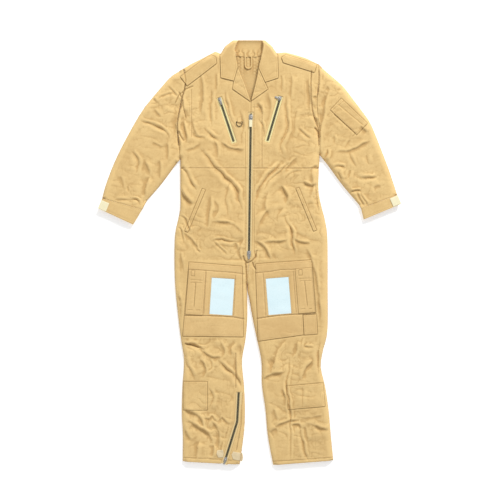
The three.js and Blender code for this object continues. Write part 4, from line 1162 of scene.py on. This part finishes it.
# %% Ring tab
tab_low, tab_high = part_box("ring_tab")
bar = JOINTS["chest_ring"]["pos_m"]
turn = np.radians(np.arange(-90, -271, -15))
hook = [(tab_high.y, tab_low.z + 0.7 * MM), (bar[1] + 4 * MM, tab_low.z + 0.7 * MM)]
hook += [(bar[1] + 2.2 * MM * math.cos(t), bar[2] + 2.2 * MM * math.sin(t)) for t in turn]
hook += [(bar[1] + 5 * MM, tab_low.z + 2.6 * MM), (tab_high.y, tab_low.z + 2.0 * MM)]
columns = np.linspace(tab_low.x, tab_high.x, 7)
points = [(x, y, z) for x in columns for y, z in hook]
faces = [
    (c * len(hook) + i, c * len(hook) + i + 1, (c + 1) * len(hook) + i + 1, (c + 1) * len(hook) + i)
    for c in range(len(columns) - 1) for i in range(len(hook) - 1)
]
ring_loop = object_of("ring_loop", points, faces, tan_twill)
worked(ring_loop, "SOLIDIFY", thickness=0.8 * MM, offset=0)
softened(ring_loop)
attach(ring_loop, "garment")
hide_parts("ring_tab")

# %% [markdown]
# ## Topstitching
# Rows of small stitches hold every patch, flap and seam. One stitch is a stretched eight-sided grain of
# thread, slightly sunk in the cloth. It is modelled once and repeated along each row, so even thousands stay
# light.

# %% One stitch
bpy.ops.object.select_all(action="DESELECT")
bpy.ops.mesh.primitive_ico_sphere_add(subdivisions=1, radius=1, scale=(1.35 * MM, 0.34 * MM, 0.26 * MM))
grain = bpy.context.object
bpy.ops.object.transform_apply(location=True, rotation=True, scale=True)
STITCH_POINTS = np.array([v.co for v in grain.data.vertices])
STITCH_FACES = [tuple(f.vertices) for f in grain.data.polygons]
bpy.data.objects.remove(grain)
print("a stitch has", len(STITCH_FACES), "faces")


# %% Rows of stitches
def inset(loop, by):
    """The loop moved inwards, corner by corner."""
    x, y = loop.T
    if np.dot(x, np.roll(y, -1)) < np.dot(y, np.roll(x, -1)):
        loop = loop[::-1]
    runs = np.roll(loop, -1, 0) - loop
    runs /= np.linalg.norm(runs, axis=1)[:, None]
    inward = np.column_stack([-runs[:, 1], runs[:, 0]])
    before = np.roll(inward, 1, 0)
    both = inward + before
    return loop + by * both / np.maximum(0.35, (both * inward).sum(1))[:, None]


def rows_of(lines, closed):
    """Stitch centres and directions, evenly along the lines."""
    centres, runs = [], []
    for line in lines:
        line = np.vstack([line, line[:1]]) if closed else line
        gone = np.concatenate([[0], np.cumsum(np.linalg.norm(np.diff(line, axis=0), axis=1))])
        if gone[-1] < 12 * MM:
            continue
        at = np.arange(3 * MM, gone[-1] - 3 * MM, 3.3 * MM)
        both = [
            np.column_stack([np.interp(at + d, gone, line[:, i]) for i in (0, 1)]) for d in (-1 * MM, 1 * MM)
        ]
        centres.append((both[0] + both[1]) / 2)
        runs.append((both[1] - both[0]) / np.linalg.norm(both[1] - both[0], axis=1)[:, None])
    return np.vstack(centres), np.vstack(runs)


def stitch(name, lines, height, body="garment", closed=True):
    centres, runs = rows_of(lines, closed)
    across = np.column_stack([-runs[:, 1], runs[:, 0]])
    points, faces = copies(list(zip(centres, runs, across)), STITCH_POINTS, STITCH_FACES)
    z = np.repeat(height(centres, np.full(len(centres), 5.5 * MM)) + 0.05 * MM, len(STITCH_POINTS))
    points[:, 2] += z
    made = object_of(name, points, faces, thread)
    softened(made)
    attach(made, body)
    print(name, len(centres), "stitches")


def beside_groove(groove):
    """The two rows that run along a sewn line."""
    line = groove.line
    run = np.gradient(line, axis=0)
    run /= np.linalg.norm(run, axis=1)[:, None]
    out = np.column_stack([-run[:, 1], run[:, 0]]) * groove.stitched
    return [line + out, line - out]


for side in ("left", "right"):
    for piece, lift in (
        ("thigh_pocket", 2.3), ("pen_pocket", 4.6), ("shin_pocket", 1.8), ("hand_pocket", 1.9)
    ):
        by = 2.4 * MM if piece == "hand_pocket" else 5.5 * MM
        edge = inset(top_outline(f"{piece}_{side}")[0], by)
        stitch(f"{piece}_stitches_{side}", [edge], patched(lift, 0.6 if piece == "hand_pocket" else 1.0))
    window = inset(top_outline("map_window_" + side)[0], -4 * MM)
    stitch("window_stitches_" + side, [window], lambda p, rim: front(p) + 2.3 * MM)
    stitch("strap_stitches_" + side, [inset(top_outline("epaulette_" + side)[0], 5.5 * MM)], strap_top,
           body="epaulette_" + side)
    stitch("lapel_stitches_" + side, [inset(top_outline("lapel_" + side)[0], 6 * MM)], lapel_top)
stitch("side_patch_stitches", [inset(top_outline("side_pocket_right")[0], 5.5 * MM)], patched(1.8))
stitch("sleeve_patch_stitches", [inset(top_outline("sleeve_pocket")[0], 5.5 * MM)], patched(1.9))

# %% Rows along the seams of the panels, and the sewn lines on the pockets
on_pocket = [g for g in grooves if g.stitched and -0.34 < g.line[:, 1].mean() < -0.04]
on_panel = [g for g in grooves if g.stitched and not -0.34 < g.line[:, 1].mean() < -0.04]
on_panel = [g for g in on_panel if not (g.line[:, 0].mean() > 0.29 and g.line[:, 1].mean() > 0.4)]
seam_rows = [row for g in on_panel for row in beside_groove(g)]
stitch("seam_stitches", seam_rows, lambda p, rim: front(p), closed=False)
stitch("pocket_line_stitches", [row for g in on_pocket for row in beside_groove(g)],
       lambda p, rim: front(p) + 2.3 * MM, closed=False)

# %% [markdown]
# ## Floor, light and camera
# A pale floor and large soft lights keep the shadows gentle, so the cloth's own folds carry the picture. The
# camera looks straight down through a long lens, which shows the outline almost without perspective.

# %% Floor
bpy.ops.object.select_all(action="DESELECT")
bpy.ops.mesh.primitive_plane_add(size=14, location=(0, 0, -0.6 * MM))
floor = bpy.context.object
floor.name = "floor"
pale, _, pale_shader = new_finish("pale_floor")
pale_shader.inputs["Base Color"].default_value = (0.93, 0.93, 0.93, 1)
pale_shader.inputs["Roughness"].default_value = 0.9
pale_shader.inputs["Emission Color"].default_value = (1, 1, 1, 1)
pale_shader.inputs["Emission Strength"].default_value = 0.35
floor.data.materials.append(pale)

# %% Light
scene = bpy.context.scene
world = bpy.data.worlds.new("studio")
world.use_nodes = True
world.node_tree.nodes["Background"].inputs["Color"].default_value = (1, 1, 1, 1)
world.node_tree.nodes["Background"].inputs["Strength"].default_value = 0.53
scene.world = world


def soft_light(name, place, size, power):
    data = bpy.data.lights.new(name, "AREA")
    data.shape, data.size, data.energy = "DISK", size, power
    light = bpy.data.objects.new(name, data)
    light.location = place
    light.rotation_euler = (Vector((0, 0, 0)) - Vector(place)).to_track_quat("-Z", "Y").to_euler()
    scene.collection.objects.link(light)


soft_light("key", (2.86, 7.02, 5.07), 2.47, 700)
soft_light("fill", (-2.4, -1.2, 2.6), 2.4, 14)

# %% Camera
FRAME_WIDTH, LENS_HEIGHT = 1.875, 6.0
CENTRE = (1.46 * MM, 9.94 * MM)
lens = bpy.data.cameras.new("straight_down")
lens.lens = lens.sensor_width * LENS_HEIGHT / FRAME_WIDTH
camera = bpy.data.objects.new("straight_down", lens)
camera.location = (*CENTRE, LENS_HEIGHT + FRONT_TOP)
lens.clip_end = 50
scene.collection.objects.link(camera)
scene.camera = camera
scene.view_settings.view_transform = "Standard"
print("lens", round(lens.lens, 1), "mm")
